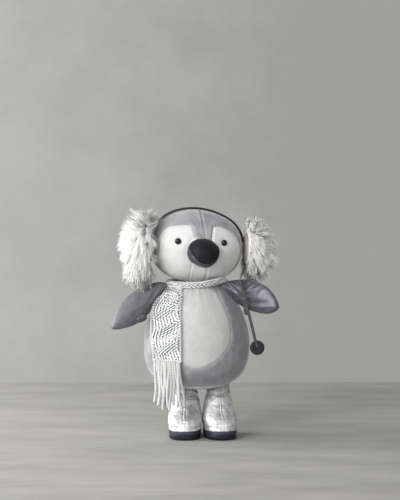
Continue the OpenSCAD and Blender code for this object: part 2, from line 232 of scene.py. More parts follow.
def split(co, tris, distance):
    """Cuts a mesh along distance = 0. Returns the points, the inner and the outer triangles."""
    distance = np.where(np.abs(distance) < 1e-4, 1e-4, distance)
    count = (distance[tris] > 0).sum(1)
    cut = (count == 1) | (count == 2)
    mixed, lone_out = tris[cut], count[cut] == 1
    # each cut triangle is turned so that its lone corner comes first
    first = ((distance[mixed] > 0) == lone_out[:, None]).argmax(1)
    a, b, c = (mixed[np.arange(len(mixed)), (first + k) % 3] for k in range(3))
    keys = np.sort(np.concatenate([np.stack([a, b], 1), np.stack([a, c], 1)]), axis=1)
    pairs, index = np.unique(keys, axis=0, return_inverse=True)
    da, db = distance[pairs[:, 0]], distance[pairs[:, 1]]
    t = (da / (da - db))[:, None]
    new = co[pairs[:, 0]] * (1 - t) + co[pairs[:, 1]] * t
    ab, ac = len(co) + index.reshape(2, -1)
    tip = np.stack([a, ab, ac], 1)
    rest = np.concatenate([np.stack([ab, b, c], 1), np.stack([ab, c, ac], 1)])
    two = np.concatenate([lone_out, lone_out])
    inner = np.concatenate([tris[count == 0], tip[~lone_out], rest[two]])
    outer = np.concatenate([tris[count == 3], tip[lone_out], rest[~two]])
    return np.concatenate([co, new]), inner, outer


def tube(path, radius, sides=6, closed=False):
    """Points and faces of a tube along a path. radius is one number or one for each point."""
    n = len(path)
    radius = np.broadcast_to(radius, n)
    if closed:
        tangent = unit(np.roll(path, -1, axis=0) - np.roll(path, 1, axis=0))
    else:
        tangent = unit(np.gradient(path, axis=0))
    side = np.zeros((n, 3))
    u = np.cross(tangent[0], (0, 0, 1) if abs(tangent[0, 2]) < 0.9 else (1, 0, 0))
    for k in range(n):
        u = unit(u - tangent[k] * (u @ tangent[k]))
        side[k] = u
    other = np.cross(tangent, side)
    a = around(sides)[None, :, None]
    ring = np.cos(a) * side[:, None] + np.sin(a) * other[:, None]
    co = (path[:, None] + ring * radius[:, None, None]).reshape(-1, 3)
    quads = grid_faces(n, sides, loop=closed)
    if closed:
        return co, quads
    # a fan of triangles closes each end
    k = np.arange(sides)
    m, last = (k + 1) % sides, (n - 1) * sides
    caps = [np.stack([np.full(sides, n * sides), m, k], 1),
            np.stack([np.full(sides, n * sides + 1), last + k, last + m], 1)]
    return np.concatenate([co, path[:1], path[-1:]]), [quads, np.concatenate(caps)]


# ---- objects

def compact(co, faces):
    """The points that a list of face arrays uses, and those arrays counted in them."""
    used = np.unique(np.concatenate([f.reshape(-1) for f in faces]))
    index = np.full(len(co), -1)
    index[used] = np.arange(len(used))
    return co[used], [index[f] for f in faces]


def make(name, co_mm, faces, material, smooth=True):
    """A mesh object from points in millimetres, with unused points left out."""
    co, faces = compact(co_mm, faces if isinstance(faces, list) else [faces])
    mesh = bpy.data.meshes.new(name)
    mesh.from_pydata((co * MM).tolist(), [], [row for f in faces for row in f.tolist()])
    mesh.polygons.foreach_set("use_smooth", [smooth] * len(mesh.polygons))
    mesh.materials.append(material)
    obj = bpy.data.objects.new(name, mesh)
    bpy.context.scene.collection.objects.link(obj)
    return obj


def piece(name, co_mm, faces, material, body, slot, replaces=()):
    """Makes a piece, hangs it on its body, and hides the nodes that it stands for. Its slot is not
    used.
    """
    obj = make(name, co_mm, faces, material)
    if body:
        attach(obj, body)
    if replaces:
        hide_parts(*replaces)
    return obj


class Pile:
    """Gathers many small meshes into one."""

    def __init__(self):
        self.co, self.faces, self.count = [], {}, 0

    def add(self, co, faces):
        for f in (faces if isinstance(faces, list) else [faces]):
            self.faces.setdefault(f.shape[1], []).append(f + self.count)
        self.co.append(co)
        self.count += len(co)

    def mesh(self):
        """All the points, and the faces in one array for each number of corners."""
        return np.concatenate(self.co), [np.concatenate(f) for f in self.faces.values()]


def set_material(name, material):
    """Gives a CAD node that is shown as it is its own material."""
    slots = frame["nodes"][name].data.materials
    slots.clear()
    slots.append(material)


# ---- materials

def put(made, **values):
    """Links or sets a shader node's inputs, and sets its other settings."""
    for key, value in values.items():
        socket = made.inputs.get(key.replace("_", " "))
        if socket is None:
            setattr(made, key, value)
        elif isinstance(value, bpy.types.NodeSocket):
            made.id_data.links.new(value, socket)
        elif socket.type == "RGBA":
            socket.default_value = (*value, 1.0)
        else:
            socket.default_value = value
    return made


def node(tree, kind, **values):
    return put(tree.nodes.new("ShaderNode" + kind), **values)


def new_material(name, **values):
    """A material, its node tree, and its Principled shader with the given values."""
    mat = bpy.data.materials.new(name)
    mat.use_nodes = True
    return mat, mat.node_tree, put(mat.node_tree.nodes["Principled BSDF"], **values)


def object_space(tree, scale):
    """Object coordinates, divided along each axis by a length in millimetres."""
    mapping = node(tree, "Mapping", Scale=[1 / (s * MM) for s in scale],
                   Vector=node(tree, "TexCoord").outputs["Object"])
    return mapping.outputs["Vector"]


def noise_node(tree, scale, detail, rough=0.55):
    return node(tree, "TexNoise", Scale=1.0, Detail=detail, Roughness=rough,
                Vector=object_space(tree, scale)).outputs["Fac"]


def ramp(tree, factor, *stops):
    """A colour ramp. Each stop is a position with a colour or one number for a grey."""
    made = node(tree, "ValToRGB", Fac=factor)
    elements = made.color_ramp.elements
    for k, (position, colour) in enumerate(stops):
        e = elements[k] if k < 2 else elements.new(position)
        e.position = position
        e.color = (*np.broadcast_to(colour, 3), 1.0)
    return made.outputs["Color"]


def add(tree, a, b, share):
    """a + share * b, as plain numbers."""
    made = node(tree, "Math", operation="MULTIPLY_ADD")
    made.inputs[1].default_value = share
    tree.links.new(b, made.inputs[0])
    tree.links.new(a, made.inputs[2])
    return made.outputs[0]


def multiply(tree, a, b):
    """Two colours multiplied."""
    mix = node(tree, "Mix", data_type="RGBA", blend_type="MULTIPLY", Factor=1.0, A=a, B=b)
    return mix.outputs["Result"]


def relief(tree, height, strength, distance):
    """A bump map's normal. distance is in millimetres."""
    made = node(tree, "Bump", Strength=strength, Distance=distance * MM, Height=height)
    return made.outputs["Normal"]


def weave(tree, size=0.9):
    """Height of a fine plain weave, the same in all three axes."""
    total = None
    for axis in range(3):
        scale = [1e6, 1e6, 1e6]
        scale[axis] = size
        wave = node(tree, "TexWave", bands_direction="DIAGONAL", wave_profile="SIN", Scale=0.5,
                    Distortion=0.6, Detail=1.0, Vector=object_space(tree, scale)).outputs["Fac"]
        total = wave if total is None else add(tree, total, wave, 1.0)
    return total


def cloth(name, dark, light, rough, sheen, nap, **extra):
    """Plush or suede cloth: mottled colour, a fine weave, a soft nap and sheen."""
    mat, tree, shader = new_material(name, Sheen_Weight=sheen, Sheen_Roughness=0.35, **extra)
    mottle = noise_node(tree, (14, 14, 14), 4)
    fine = noise_node(tree, (0.8, 0.8, 1.6), 2)
    put(shader, Base_Color=ramp(tree, add(tree, mottle, fine, 0.35), (0.45, dark), (0.85, light)),
        Roughness=ramp(tree, mottle, (0.3, rough * 0.88), (0.7, min(1.0, rough * 1.12))),
        Normal=relief(tree, add(tree, fine, weave(tree), 0.25), nap, 0.35))
    return mat


GREY = cloth("grey_plush", (0.20, 0.197, 0.218), (0.305, 0.30, 0.33), 0.6, 0.7, 0.5,
             Sheen_Tint=(0.9, 0.9, 0.97), Specular_IOR_Level=0.45)
# a lighter copy of the grey plush with painted light, for the head's grey that shows brighter than
# the body's
CROWN_LIT = cloth("crown_plush_painted_light", (0.235, 0.233, 0.25), (0.355, 0.353, 0.38), 0.62, 0.6, 0.5,
              Sheen_Tint=(0.88, 0.88, 0.95), Specular_IOR_Level=0.4)
SATIN = cloth("satin_plush", (0.083, 0.079, 0.095), (0.15, 0.146, 0.168), 0.5, 0.25, 0.3,
              Sheen_Tint=(0.9, 0.9, 1.0), Metallic=0.1, Specular_IOR_Level=0.4)
# a darker copy of the wing cloth with painted shade, for the thumbs in the mitten's shadow
PAINTED_SHADE_PLUSH = cloth("thumb_painted_shade_plush", (0.035, 0.033, 0.045), (0.075, 0.072, 0.09), 0.45, 0.15, 0.3)
GLOSS = cloth("gloss_plush", (0.078, 0.075, 0.096), (0.165, 0.16, 0.195), 0.42, 0.2, 0.3,
              Sheen_Tint=(0.9, 0.9, 1.0), Metallic=0.45, Specular_IOR_Level=0.5)
WHITE = cloth("white_plush", (0.60, 0.607, 0.61), (0.68, 0.687, 0.69), 0.85, 0.2, 0.45)
# a darker copy of the white plush with painted shade: the bib shows dimmer than the face
BIB_WHITE_SHADED = cloth("bib_plush_painted_shade", (0.445, 0.45, 0.452), (0.515, 0.52, 0.52), 0.85, 0.2, 0.45)
SUEDE = cloth("beak_suede", (0.003, 0.002, 0.005), (0.007, 0.006, 0.013), 0.78, 0.08, 0.5,
              Sheen_Tint=(0.5, 0.5, 0.7), Specular_IOR_Level=0.3)
# the beak's seam cord: a real raised ridge, with painted highlight in its pale colour
CORD_PAINTED_HIGHLIGHT = cloth("beak_cord_painted_highlight", (0.10, 0.10, 0.12), (0.20, 0.20, 0.235), 0.6, 0.3, 0.3)
# a paler suede for the lower shell
UNDER = cloth("beak_suede_paler", (0.016, 0.015, 0.022), (0.045, 0.042, 0.058), 0.6, 0.2, 0.5,
              Sheen_Tint=(0.6, 0.6, 0.8), Specular_IOR_Level=0.4)
FELT = cloth("basket_felt", (0.008, 0.009, 0.014), (0.02, 0.021, 0.03), 0.85, 0.25, 0.8,
             Sheen_Tint=(0.6, 0.6, 0.7))
BACKING = cloth("muff_backing", (0.40, 0.35, 0.29), (0.52, 0.46, 0.39), 0.9, 0.2, 0.6)
BAND = cloth("band_cloth", (0.004, 0.004, 0.006), (0.010, 0.010, 0.013), 0.55, 0.2, 0.4)


def fur_material():
    """Long ivory pile: paler at the tips than at the roots, and slightly see-through."""
    mat, tree, shader = new_material(
        "ivory_fur", Roughness=0.55, Sheen_Weight=0.25, Specular_IOR_Level=0.35,
        Subsurface_Weight=0.25, Subsurface_Radius=(0.004, 0.004, 0.0035))
    tip, tone = (node(tree, "Attribute", attribute_name=key).outputs["Fac"] for key in FUR_LAYERS)
    along = ramp(tree, tip, (0.0, (0.88, 0.865, 0.83)), (0.4, (0.93, 0.925, 0.91)),
                 (1.0, (0.97, 0.968, 0.96)))
    shade = ramp(tree, tone, (0.0, (0.95, 0.945, 0.93)), (1.0, 1.0))
    put(shader, Base_Color=multiply(tree, along, shade))
    return mat


def yarn_material(name, light, pitch):
    """Soft yarn with fine fibres along it."""
    mat, tree, shader = new_material(name, Roughness=0.75, Sheen_Weight=0.3, Sheen_Roughness=0.4)
    fibre = noise_node(tree, (pitch, pitch, pitch * 3), 3)
    put(shader, Base_Color=ramp(tree, fibre, (0.3, np.array(light) * 0.82), (0.65, light)),
        Normal=relief(tree, fibre, 0.6, 0.4))
    return mat


def foil_material():
    """Thin silver foil on cloth: sharp creases and tiny scuffs, with painted shade high on the
    shafts, where the body shadows them.
    """
    mat, tree, shader = new_material("silver_foil", Metallic=0.92, Specular_IOR_Level=0.6)
    crease = node(tree, "TexVoronoi", feature="DISTANCE_TO_EDGE", Scale=1.0,
                  Vector=object_space(tree, (7, 7, 12))).outputs["Distance"]
    broad = noise_node(tree, (9, 9, 14), 5, 0.6)
    fine = noise_node(tree, (1.3, 1.3, 1.3), 3)
    colour = ramp(tree, broad, (0.36, (0.52, 0.51, 0.535)), (0.5, (0.70, 0.69, 0.71)),
                  (0.66, (0.84, 0.83, 0.85)))
    height = node(tree, "SeparateXYZ", Vector=node(tree, "TexCoord").outputs["Object"]).outputs["Z"]
    # painted shade: the foil is darkened above 62 mm, for the body's shadow falling on the shafts
    painted_shade_under_body = ramp(tree, height, (0.062, 1.0), (0.076, (0.6, 0.59, 0.62)))
    put(shader, Base_Color=multiply(tree, colour, painted_shade_under_body),
        Roughness=ramp(tree, fine, (0.3, 0.56), (0.7, 0.74)),
        Normal=relief(tree, add(tree, add(tree, broad, crease, 0.35), fine, 0.12), 0.4, 1.4))
    return mat


def plain(name, colour, rough, grain, **extra):
    """Moulded, painted or turned parts: a little colour drift and a fine surface grain."""
    mat, tree, shader = new_material(name, **extra)
    drift = noise_node(tree, grain, 4)
    put(shader, Base_Color=ramp(tree, drift, (0.35, np.array(colour) * 0.86), (0.65, colour)),
        Roughness=ramp(tree, drift, (0.3, rough * 0.85), (0.7, rough * 1.15)),
        Normal=relief(tree, drift, 0.15, 0.2))
    return mat


FUR_LAYERS = ("tip", "tone")
FUR = fur_material()
KNIT = yarn_material("scarf_knit", (0.71, 0.72, 0.735), 0.7)
# a dark copy of the yarn with painted shade, for the ground seen in the gaps between stitches
KNIT_PAINTED_SHADE = yarn_material("scarf_knit_painted_shade", (0.20, 0.205, 0.215), 0.7)
YARN = yarn_material("fringe_yarn", (0.54, 0.54, 0.545), 0.6)
FOIL = foil_material()
WELT = plain("welt_gloss", (0.05, 0.053, 0.078), 0.42, (3, 3, 3), Metallic=0.45)
BEAD = plain("eye_bead_black", (0.006, 0.006, 0.008), 0.05, (4, 4, 4),
             Specular_IOR_Level=0.25, Coat_Weight=0.35, Coat_Roughness=0.02)
SOLE = plain("sole_rubber", (0.007, 0.008, 0.016), 0.5, (3, 3, 3), Specular_IOR_Level=0.3)
POLE = plain("pole_paint", (0.08, 0.077, 0.08), 0.35, (1, 1, 6), Metallic=0.4)
THREAD = plain("grey_thread", (0.12, 0.12, 0.135), 0.7, (0.4, 0.4, 0.4))
WOOD = plain("dowel_wood", (0.50, 0.36, 0.22), 0.6, (1.2, 1.2, 14))
WIRE = plain("bare_wire", (0.5, 0.5, 0.52), 0.3, (0.5, 0.5, 3), Metallic=1.0)
BOARD = plain("grey_board", (0.42, 0.35, 0.27), 0.9, (1.5, 1.5, 1.5))
FILL = plain("fibre_fill", (0.85, 0.84, 0.8), 0.95, (2.5, 2.5, 2.5), Sheen_Weight=0.3)
COTTON = plain("pellet_cotton", (0.5, 0.46, 0.4), 0.9, (0.7, 0.7, 0.7))
NYLON = plain("washer_nylon", (0.8, 0.8, 0.8), 0.4, (3, 3, 3))


# ---- body

WAIST_Z = 146.0
BELLY_FLOOR_Z = 76.0
NECK_RISE = 112.0
BASE_SEAM_Z = box_mm("base_panel")[1][2]
FAR = 60.0  # a distance given to points on the side that a seam doesn't reach

# Half of the bib's edge, from the middle of its hem up to the neck.
BIB = [(0, 118), (10, 118.6), (22.5, 123), (35, 131.5), (46.5, 143.5), (52.5, 155.5),
       (54.2, 168), (52.3, 185), (47, 202), (39.6, 217.5), (32, 229), (24, 237), (15, 244)]
BIB_X = 0.8


def body_radius(z):
    """Radius of the stuffed body at a height, in millimetres."""
    low = np.clip((WAIST_Z - z) / (WAIST_Z - BELLY_FLOOR_Z), 0, 1)
    high = np.clip((z - WAIST_Z) / NECK_RISE, 0, 1)
    return BODY_R * np.where(z < WAIST_Z, (1 - low ** 2.7) ** (1 / 2.7),
                             (1 - high ** 1.8) ** (1 / 1.8))


def bib_distance(co):
    """Distance to the bib's edge, below 0 on the bib."""
    half = np.array(BIB, float)
    edge = rounded(np.concatenate([half, half[:0:-1] * (-1, 1)]) + (BIB_X, 0), 2)
    return np.where(co[:, 1] < AXIS[1], outline_distance(co[:, [0, 2]] - (AXIS[0], 0), edge), FAR)


def build_body():
    """The bib, two side panels that meet at the back, and the base panel."""
    rows, cols = 170, 300
    bottom, top = BELLY_FLOOR_Z + 1.5, SHOULDER_Z + 1
    heights = bottom + (top - bottom) * (1 - np.cos(math.pi * np.linspace(0, 1, rows))) / 2
    z, a = grid(heights, around(cols) - math.pi / 2 + math.pi / cols)
    r = body_radius(z)
    co = points(AXIS[0] + r * np.cos(a), AXIS[1] + r * np.sin(a), z)
    # the underside is closed by a flat disc of rings
    disc = [co[:cols] * (share, share, 1) + (*AXIS * (1 - share), 0)
            for share in (0.03, 0.25, 0.5, 0.75)]
    co = np.concatenate(disc + [co])
    tris = triangles(grid_faces(rows + len(disc), cols))
    x, y, z = co.T
    n = normals(co, tris)
    angle = np.arctan2(y - AXIS[1], x - AXIS[0])
    bib = bib_distance(co)
    base = z - BASE_SEAM_Z
    back = np.where(y > AXIS[1], np.abs(x - AXIS[0]), FAR)
    # broad unevenness of the stuffing
    lift = 1.3 * fbm(co / 42.0)
    # gathers that run down from the neck and fade
    lift += 1.5 * noise_at(angle * 9, z / 60, 0, 3.1) * step(z, 200, 240)
    lift += 0.45 * noise_at(angle * 26, z / 40, 0, 8.4) * step(z, 212, 238)
    # long soft drag lines beside the bib
    lift += 0.8 * noise(co / (9, 14, 55)) * bump(bib - 14, 18)
    # puckers along the seams
    lift += 0.6 * noise(co / 5) * (bump(bib, 6) + bump(base, 5) + bump(back, 5))
    lift -= 1.3 * bump(bib, 1.2) + 1.1 * bump(base, 1.8) + 1.0 * bump(back, 1.5)
    lift += 0.2 * bump(np.abs(bib) - 4.5, 3)
    co, below, above = split(co + n * lift[:, None], tris, base)
    # the bib's edge is measured again, on the puckered mesh with its new points
    co, inside, outside = split(co, above, bib_distance(co))
    co, right, left = split(co, outside, co[:, 0] - AXIS[0])
    # the bib takes the darker white copy, with painted shade
    piece("belly", co, inside, BIB_WHITE_SHADED, "body", "white_plush", ["belly_panel"])
    piece("body_right", co, right, GREY, "body", "grey_plush", ["body_panel_right"])
    piece("body_left", co, left, GREY, "body", "grey_plush", ["body_panel_left"])
    piece("body_base", co, below, GREY, "body", "grey_plush", ["base_panel"])


# ---- head

HEAD_RX = 70.8
HEAD_R = 57.0
HEAD_POWER = 2.3
HEAD_ROLL = math.radians(2.5)
FACE_SEAM_X = -13.0
EYE_X, EYE_UP = 36.0, 9.5
BEAK_X, BEAK_UP = 2.5, -5.8
EYE_TURN = math.radians(30)

# The white face in the head's own X and Z. The right lobe is the penguin's right.
RIGHT_LOBE = [(-7, 6), (-6.5, 14), (-8.5, 18), (-12.5, 26), (-15.5, 33.5), (-18, 34.5),
              (-37.6, 33.2), (-50, 30), (-59, 20.5), (-64, 9), (-64.8, -10), (-59.5, -28),
              (-48, -43), (-36, -53.5), (0, -64), (12, -64), (12, 0)]
LEFT_LOBE = [(16.5, 6), (16.5, 16), (18, 32), (20.5, 35), (34, 35.2), (49.5, 27), (60, 14),
             (65, -1.8), (64.8, -18), (58, -33), (45, -48), (34, -58), (0, -64), (12, -64), (12, 0)]


def head_point(p):
    """From the head's own place, with its middle at 0, to the row frame."""
    p = p.copy()
    # the crown is a little lower on the penguin's left
    p[:, 2] *= 1 - 0.065 * step(p[:, 0], -8, 48) * step(p[:, 2], 8, 34)
    return turn(turn(p, HEAD_ROLL, "y"), HEAD_TURN, "z") + (*AXIS, HEAD_Z)


def head_radius(x):
    """Radius of the head's section at a place along its ear axis."""
    return HEAD_R * np.maximum(1 - np.abs(x / HEAD_RX) ** HEAD_POWER, 0) ** (1 / HEAD_POWER)


def head_depth(x, z):
    """How far the head's surface stands forwards of its ear axis."""
    return math.sqrt(head_radius(x) ** 2 - z * z)


def face_distance(p):
    """Distance to the white face's edge, below 0 on the face."""
    lobes = (outline_distance(p[:, [0, 2]], rounded(lobe)) for lobe in (RIGHT_LOBE, LEFT_LOBE))
    return np.where(p[:, 1] < 4, np.minimum(*lobes), FAR)


def crown_distance(p):
    """Distance to the seam over the crown, above 0 on the penguin's left."""
    return p[:, 0] - (6.5 - 4.5 * step(p[:, 2], 14, 50))


def build_head():
    """Two grey panels that meet over the crown, and two white face panels."""
    rows, cols = 190, 320
    x, a = grid(-HEAD_RX * np.cos(math.pi * np.linspace(0.004, 0.996, rows)), around(cols))
    r = head_radius(x)
    co = points(x, -r * np.cos(a), r * np.sin(a))
    tris = triangles(grid_faces(rows, cols))[:, ::-1]
    n = normals(co, tris)
    x, y, z = co.T
    front = y < 4
    face = face_distance(co)
    crown = crown_distance(co)
    lift = 0.9 * fbm(co / 34.0 + 4)
    # gathers beside the forehead seam, deepest above the beak
    near = bump(crown + 3, 12) * step(z, 4, 14) * (1 - step(z, 34, 54)) * front
    lift += 0.8 * noise(co / (2.3, 60, 22) + 2.7) * near
    lift += 0.6 * noise(co / (6, 40, 34) + 5.2) * bump(crown + 4, 30) * step(z, 18, 34) * front
    lift -= 1.5 * bump(crown, 1.0) * (face > 0)
    lift += 0.3 * bump(np.abs(crown) - 3, 1.6) * (face > 0) * front
    # pleats below the beak, the seam of the white face and gathers under the chin
    below = bump(x + 13, 12) * (1 - step(z, -36, -22)) * front
    lift += 0.8 * noise(co / (3.4, 60, 60) + 7.9) * below
    lift -= 1.1 * bump(x - FACE_SEAM_X, 1.1) * (1 - step(z, -24, -12)) * (face < 0)
    lift += 0.6 * noise(co / (5, 60, 60) + 1.3) * (1 - step(z, -52, -38)) * front
    # drag lines from the ears and the seam's own puckers
    lift += 0.7 * noise(co / (26, 8, 8)) * step(np.abs(x), 44, 62)
    lift += 0.55 * noise(co / 4.2 + 3) * bump(face, 5)
    lift -= 1.4 * bump(face, 1.3)
    lift += 0.5 * bump(np.abs(face) - 4, 3)
    # the fold above the right cheek
    fold = (z - 27.5) - 0.75 * (x + 61)
    lift -= 1.5 * bump(fold, 1.4) * bump(x + 61, 8) * front
    lift += 1.4 * bump(fold - 5.5, 4) * bump(x + 64, 7) * front
    # the dimples that the eyes pull in, and the tuck round the beak
    for side in SIDE_NAME:
        lift -= 2.6 * bump(np.hypot(x - side * EYE_X, z - EYE_UP), 8) * front
    lift -= 1.5 * bump(np.hypot(x - BEAK_X, z - BEAK_UP) - 25, 4) * front
    co = co + n * lift[:, None]
    # the head is flat underneath, where it sits on the body
    co[:, 2] = np.maximum(co[:, 2], -HEAD_R + 3.0)
    co, white, grey = split(co, tris, face_distance(co))
    co, grey_right, grey_left = split(co, grey, crown_distance(co))
    co, white_right, white_left = split(co, white, co[:, 0] - FACE_SEAM_X)
    co = head_point(co)
    # the grey head panels take the lighter copy, with painted light
    piece("head_right", co, grey_right, CROWN_LIT, "head", "grey_plush", ["head_panel_right"])
    piece("head_left", co, grey_left, CROWN_LIT, "head", "grey_plush", ["head_panel_left"])
    piece("face_right", co, white_right, WHITE, "head", "white_plush", ["face_panel_right"])
    piece("face_left", co, white_left, WHITE, "head", "white_plush", ["face_panel_left"])


def build_head_stuffing():
    """The head's filling, with the same small lean as the panels round it."""
    co = turn(cad_points("head_filling") - (*AXIS, HEAD_Z), -HEAD_TURN, "z") * 0.992
    faces = [np.array([list(f.vertices)]) for f in frame["nodes"]["head_filling"].data.polygons]
    piece("head_stuffing", head_point(co), faces, FILL, "head", "filling", ["head_filling"])


def build_eyes():
    """Polished beads with a fine rim, each turned the way the face turns there."""
    profile = np.array([(0, 4.0), (1.4, 3.9), (2.7, 3.35), (3.8, 2.5), (4.6, 1.3), (4.95, 0.2),
                        (5.0, -0.6), (4.7, -1.0), (3.6, -1.3), (1.8, -1.5), (1.8, -12.5),
                        (0, -12.5)])
    corners = np.arange(len(profile))
    dense = np.linspace(0, corners[-1], 4 * corners[-1] + 1)
    profile = np.stack([np.interp(dense, corners, values) for values in profile.T], 1)
    cols = 48
    bead = turn(lathe(profile, cols), math.pi / 2, "x")
    for side, who in SIDE_NAME.items():
        co = turn(bead, side * EYE_TURN, "z")
        co = head_point(co + (side * EYE_X, 1.2 - head_depth(side * EYE_X, EYE_UP), EYE_UP))
        piece(who + "_eye_bead", co, grid_faces(len(profile), cols), BEAD, "head", "eye_bead",
              [who + "_eye"])


# ---- beak

BEAK_LENGTH, BEAK_HALF_W, BEAK_HALF_H = 39.0, 24.2, 20.8
BEAK_POWER = 2.15
BEAK_DROOP = math.radians(7)
SLEEVE, SLEEVE_LENGTH = 0.22, 12  # share of the rows, and length, of the part inside the head


def beak_seam(p):
    """Above 0 on the upper shell. The seam runs like a smile, up both sides to the face."""
    return p[:, 1] + 0.46 * p[:, 2] - 3.5 - 0.022 * p[:, 0] ** 2 + 0.05 * p[:, 0]


def beak_point(p):
    """From the beak's own place, with its tip along Z, to the row frame."""
    place = (BEAK_X, 2 - head_depth(BEAK_X, BEAK_UP), BEAK_UP)
    return head_point(turn(p, math.pi / 2 + BEAK_DROOP, "x") + place)


def build_beak():
    """A deep upper shell and a shallow lower one that cups it, with a turned seam between them."""
    rows, cols = 110, 200
    t, a = grid(np.linspace(0, 1, rows), around(cols))
    dome = np.clip((t - SLEEVE) / (1 - SLEEVE), 0, 1) * math.pi / 2
    r = np.cos(dome) ** 0.78
    z = np.where(t < SLEEVE, SLEEVE_LENGTH * (t / SLEEVE - 1), BEAK_LENGTH * np.sin(dome))
    x = BEAK_HALF_W * r * signed_power(np.cos(a), 2 / BEAK_POWER)
    y = BEAK_HALF_H * r * signed_power(np.sin(a), 2 / BEAK_POWER)
    # the lower side hangs deepest a little to the penguin's left of its middle
    y = np.where(y < 0, y * (1.03 + 0.07 * bump(x - 5, 9) - 0.05 * bump(x + 12, 8)), y)
    co = points(x, y, z)
    tris = triangles(grid_faces(rows, cols))
    n = normals(co, tris)
    seam = beak_seam(co)
    lift = 0.5 * fbm(co / 13.0)
    lift += 0.5 * noise(co / (3.2, 5, 5)) * bump(seam, 6)
    lift -= 2.2 * bump(seam, 1.0)
    lift += 1.6 * bump(seam - 3.0, 2.2)
    lift += 1.1 * bump(seam + 3.0, 2.2)
    co = co + n * (lift * step(co[:, 2], 2, 9))[:, None]
    piece("beak_stuffing", beak_point(co * (0.93, 0.93, 0.95)), tris, FILL, "head", "filling",
          ["beak_filling"])
    # the stitched line where the two shells meet, found on each column of the lower half
    points_on, side_of = co.reshape(rows, cols, 3), beak_seam(co).reshape(rows, cols)
    change = (side_of[:-1] > 0) != (side_of[1:] > 0)
    change[:rows // 4] = False
    k = np.arange(cols // 2, cols)
    k = k[change[:, k].any(0)]
    i = change[:, k].argmax(0)
    share = side_of[i, k] / (side_of[i, k] - side_of[i + 1, k])
    line = points_on[i, k] + (points_on[i + 1, k] - points_on[i, k]) * share[:, None]
    # the cord's pale colour is painted highlight along the seam's raised ridge
    cord, faces = tube(beak_point(line * (1.03, 1.03, 1.02)), 0.6)
    piece("beak_seam_cord", cord, faces, CORD_PAINTED_HIGHLIGHT, "head", "suede")
    co, lower, upper = split(co, tris, beak_seam(co))
    co = beak_point(co)
    piece("beak_top", co, upper, SUEDE, "head", "suede", ["beak_upper"])
    piece("beak_under", co, lower, UNDER, "head", "suede", ["beak_lower"])


# ---- wings

# Each wing's outer edge in its own plane: along from the shoulder pivot, and up.
WING_EDGE = {
    -1: [(-18, -8), (-12, 3), (2, 10), (19, 16), (32, 18), (43, 18.5), (60, 17), (72, 13),
         (84, 6.5), (93, 1.5), (97, -2.5), (94, -7.5), (84, -14.5), (71, -21), (58, -25),
         (44, -25), (30, -23.5), (10, -18), (-8, -13.5)],
    1: [(-26, -14), (-19, -5), (-8, 3), (4, 9), (20, 15.5), (38, 19.5), (52, 21), (64, 20.5),
        (76, 16.5), (86, 10), (92.5, 3), (94.5, -2), (92, -8), (84, -15), (73, -20.5), (60, -24),
        (46, -27), (32, -28), (16, -27), (-2, -23.5), (-16, -19)]}
WING_CLOTH = {-1: SATIN, 1: GLOSS}
WING_ROOT = {side: joint(who + "_wing_swing")[0] for side, who in SIDE_NAME.items()}
WING_REACH = {-1: math.radians(12), 1: math.radians(42)}
WING_DROP = {-1: math.radians(40), 1: math.radians(19)}
WING_BEND = {-1: math.radians(34), 1: math.radians(58)}
WING_MIDDLE = np.array([46.0, 0.0, -4.0])
WING_HALF_THICK = 10.5
WING_SPACING = 2.2
STRAIGHT_FROM = 40  # where the bent shoulder end joins the straight part
# two places at the wing's shoulder end; build_wing works out where they lie but does not use them
BLEND_START, BLEND_END = (-16.0, 0, -1), (14.0, 0, -2)
PUFF_PRESSURE, PUFF_FRAMES, PUFF_CAP = 3.0, 20, 5.0
THUMB_HALF_L, THUMB_R, THUMB_FRONT = 9.0, 5.0, -8.5


def inflate(obj):
    """Blows a closed cloth up a little and keeps the result, with each point's move capped."""
    rest = np.array([v.co for v in obj.data.vertices])
    mod = obj.modifiers.new("puff", "CLOTH")
    for key, value in (("quality", 6), ("mass", 0.2), ("tension_stiffness", 18),
                       ("compression_stiffness", 18), ("shear_stiffness", 8),
                       ("bending_stiffness", 0.25), ("use_pressure", True),
                       ("uniform_pressure_force", PUFF_PRESSURE)):
        setattr(mod.settings, key, value)
    mod.settings.effector_weights.gravity = 0
    mod.point_cache.frame_start = 1
    mod.point_cache.frame_end = PUFF_FRAMES
    scene = bpy.context.scene
    for f in range(PUFF_FRAMES):
        scene.frame_set(f + 1)
    graph = bpy.context.evaluated_depsgraph_get()
    move = np.array([v.co for v in obj.evaluated_get(graph).data.vertices]) - rest
    obj.modifiers.remove(mod)
    scene.frame_set(1)
    size = np.linalg.norm(move, axis=1, keepdims=True)
    return (rest + move * np.minimum(1, PUFF_CAP * MM / np.maximum(size, 1e-9))) / MM


def leaf(outline):
    """A grid that fills an outline: where it is along and up, and each row's share of the way."""
    outline = rounded(outline)
    lo, hi = outline.min(0), outline.max(0)
    nu, nv = ((hi - lo) / WING_SPACING).astype(int)
    # the columns are closer together near both tips
    first, last = lo[0] + 0.4, hi[0] - 0.4
    even = np.linspace(0, 1, nu)
    u = first + (last - first) * (0.55 * (1 - np.cos(math.pi * even)) / 2 + 0.45 * even)
    # each column is stretched to fit between the lower and the upper edge
    ends = []
    for value in u:
        cuts = [ay + (by - ay) * (value - ax) / (bx - ax)
                for (ax, ay), (bx, by) in zip(outline, np.roll(outline, -1, axis=0))
                if (ax > value) != (bx > value)]
        ends.append((min(cuts), max(cuts)))
    bottom, top = np.array(ends).T[..., None]
    share = np.linspace(0, 1, nv)
    return np.repeat(u[:, None], nv, 1), bottom + (top - bottom) * share, share


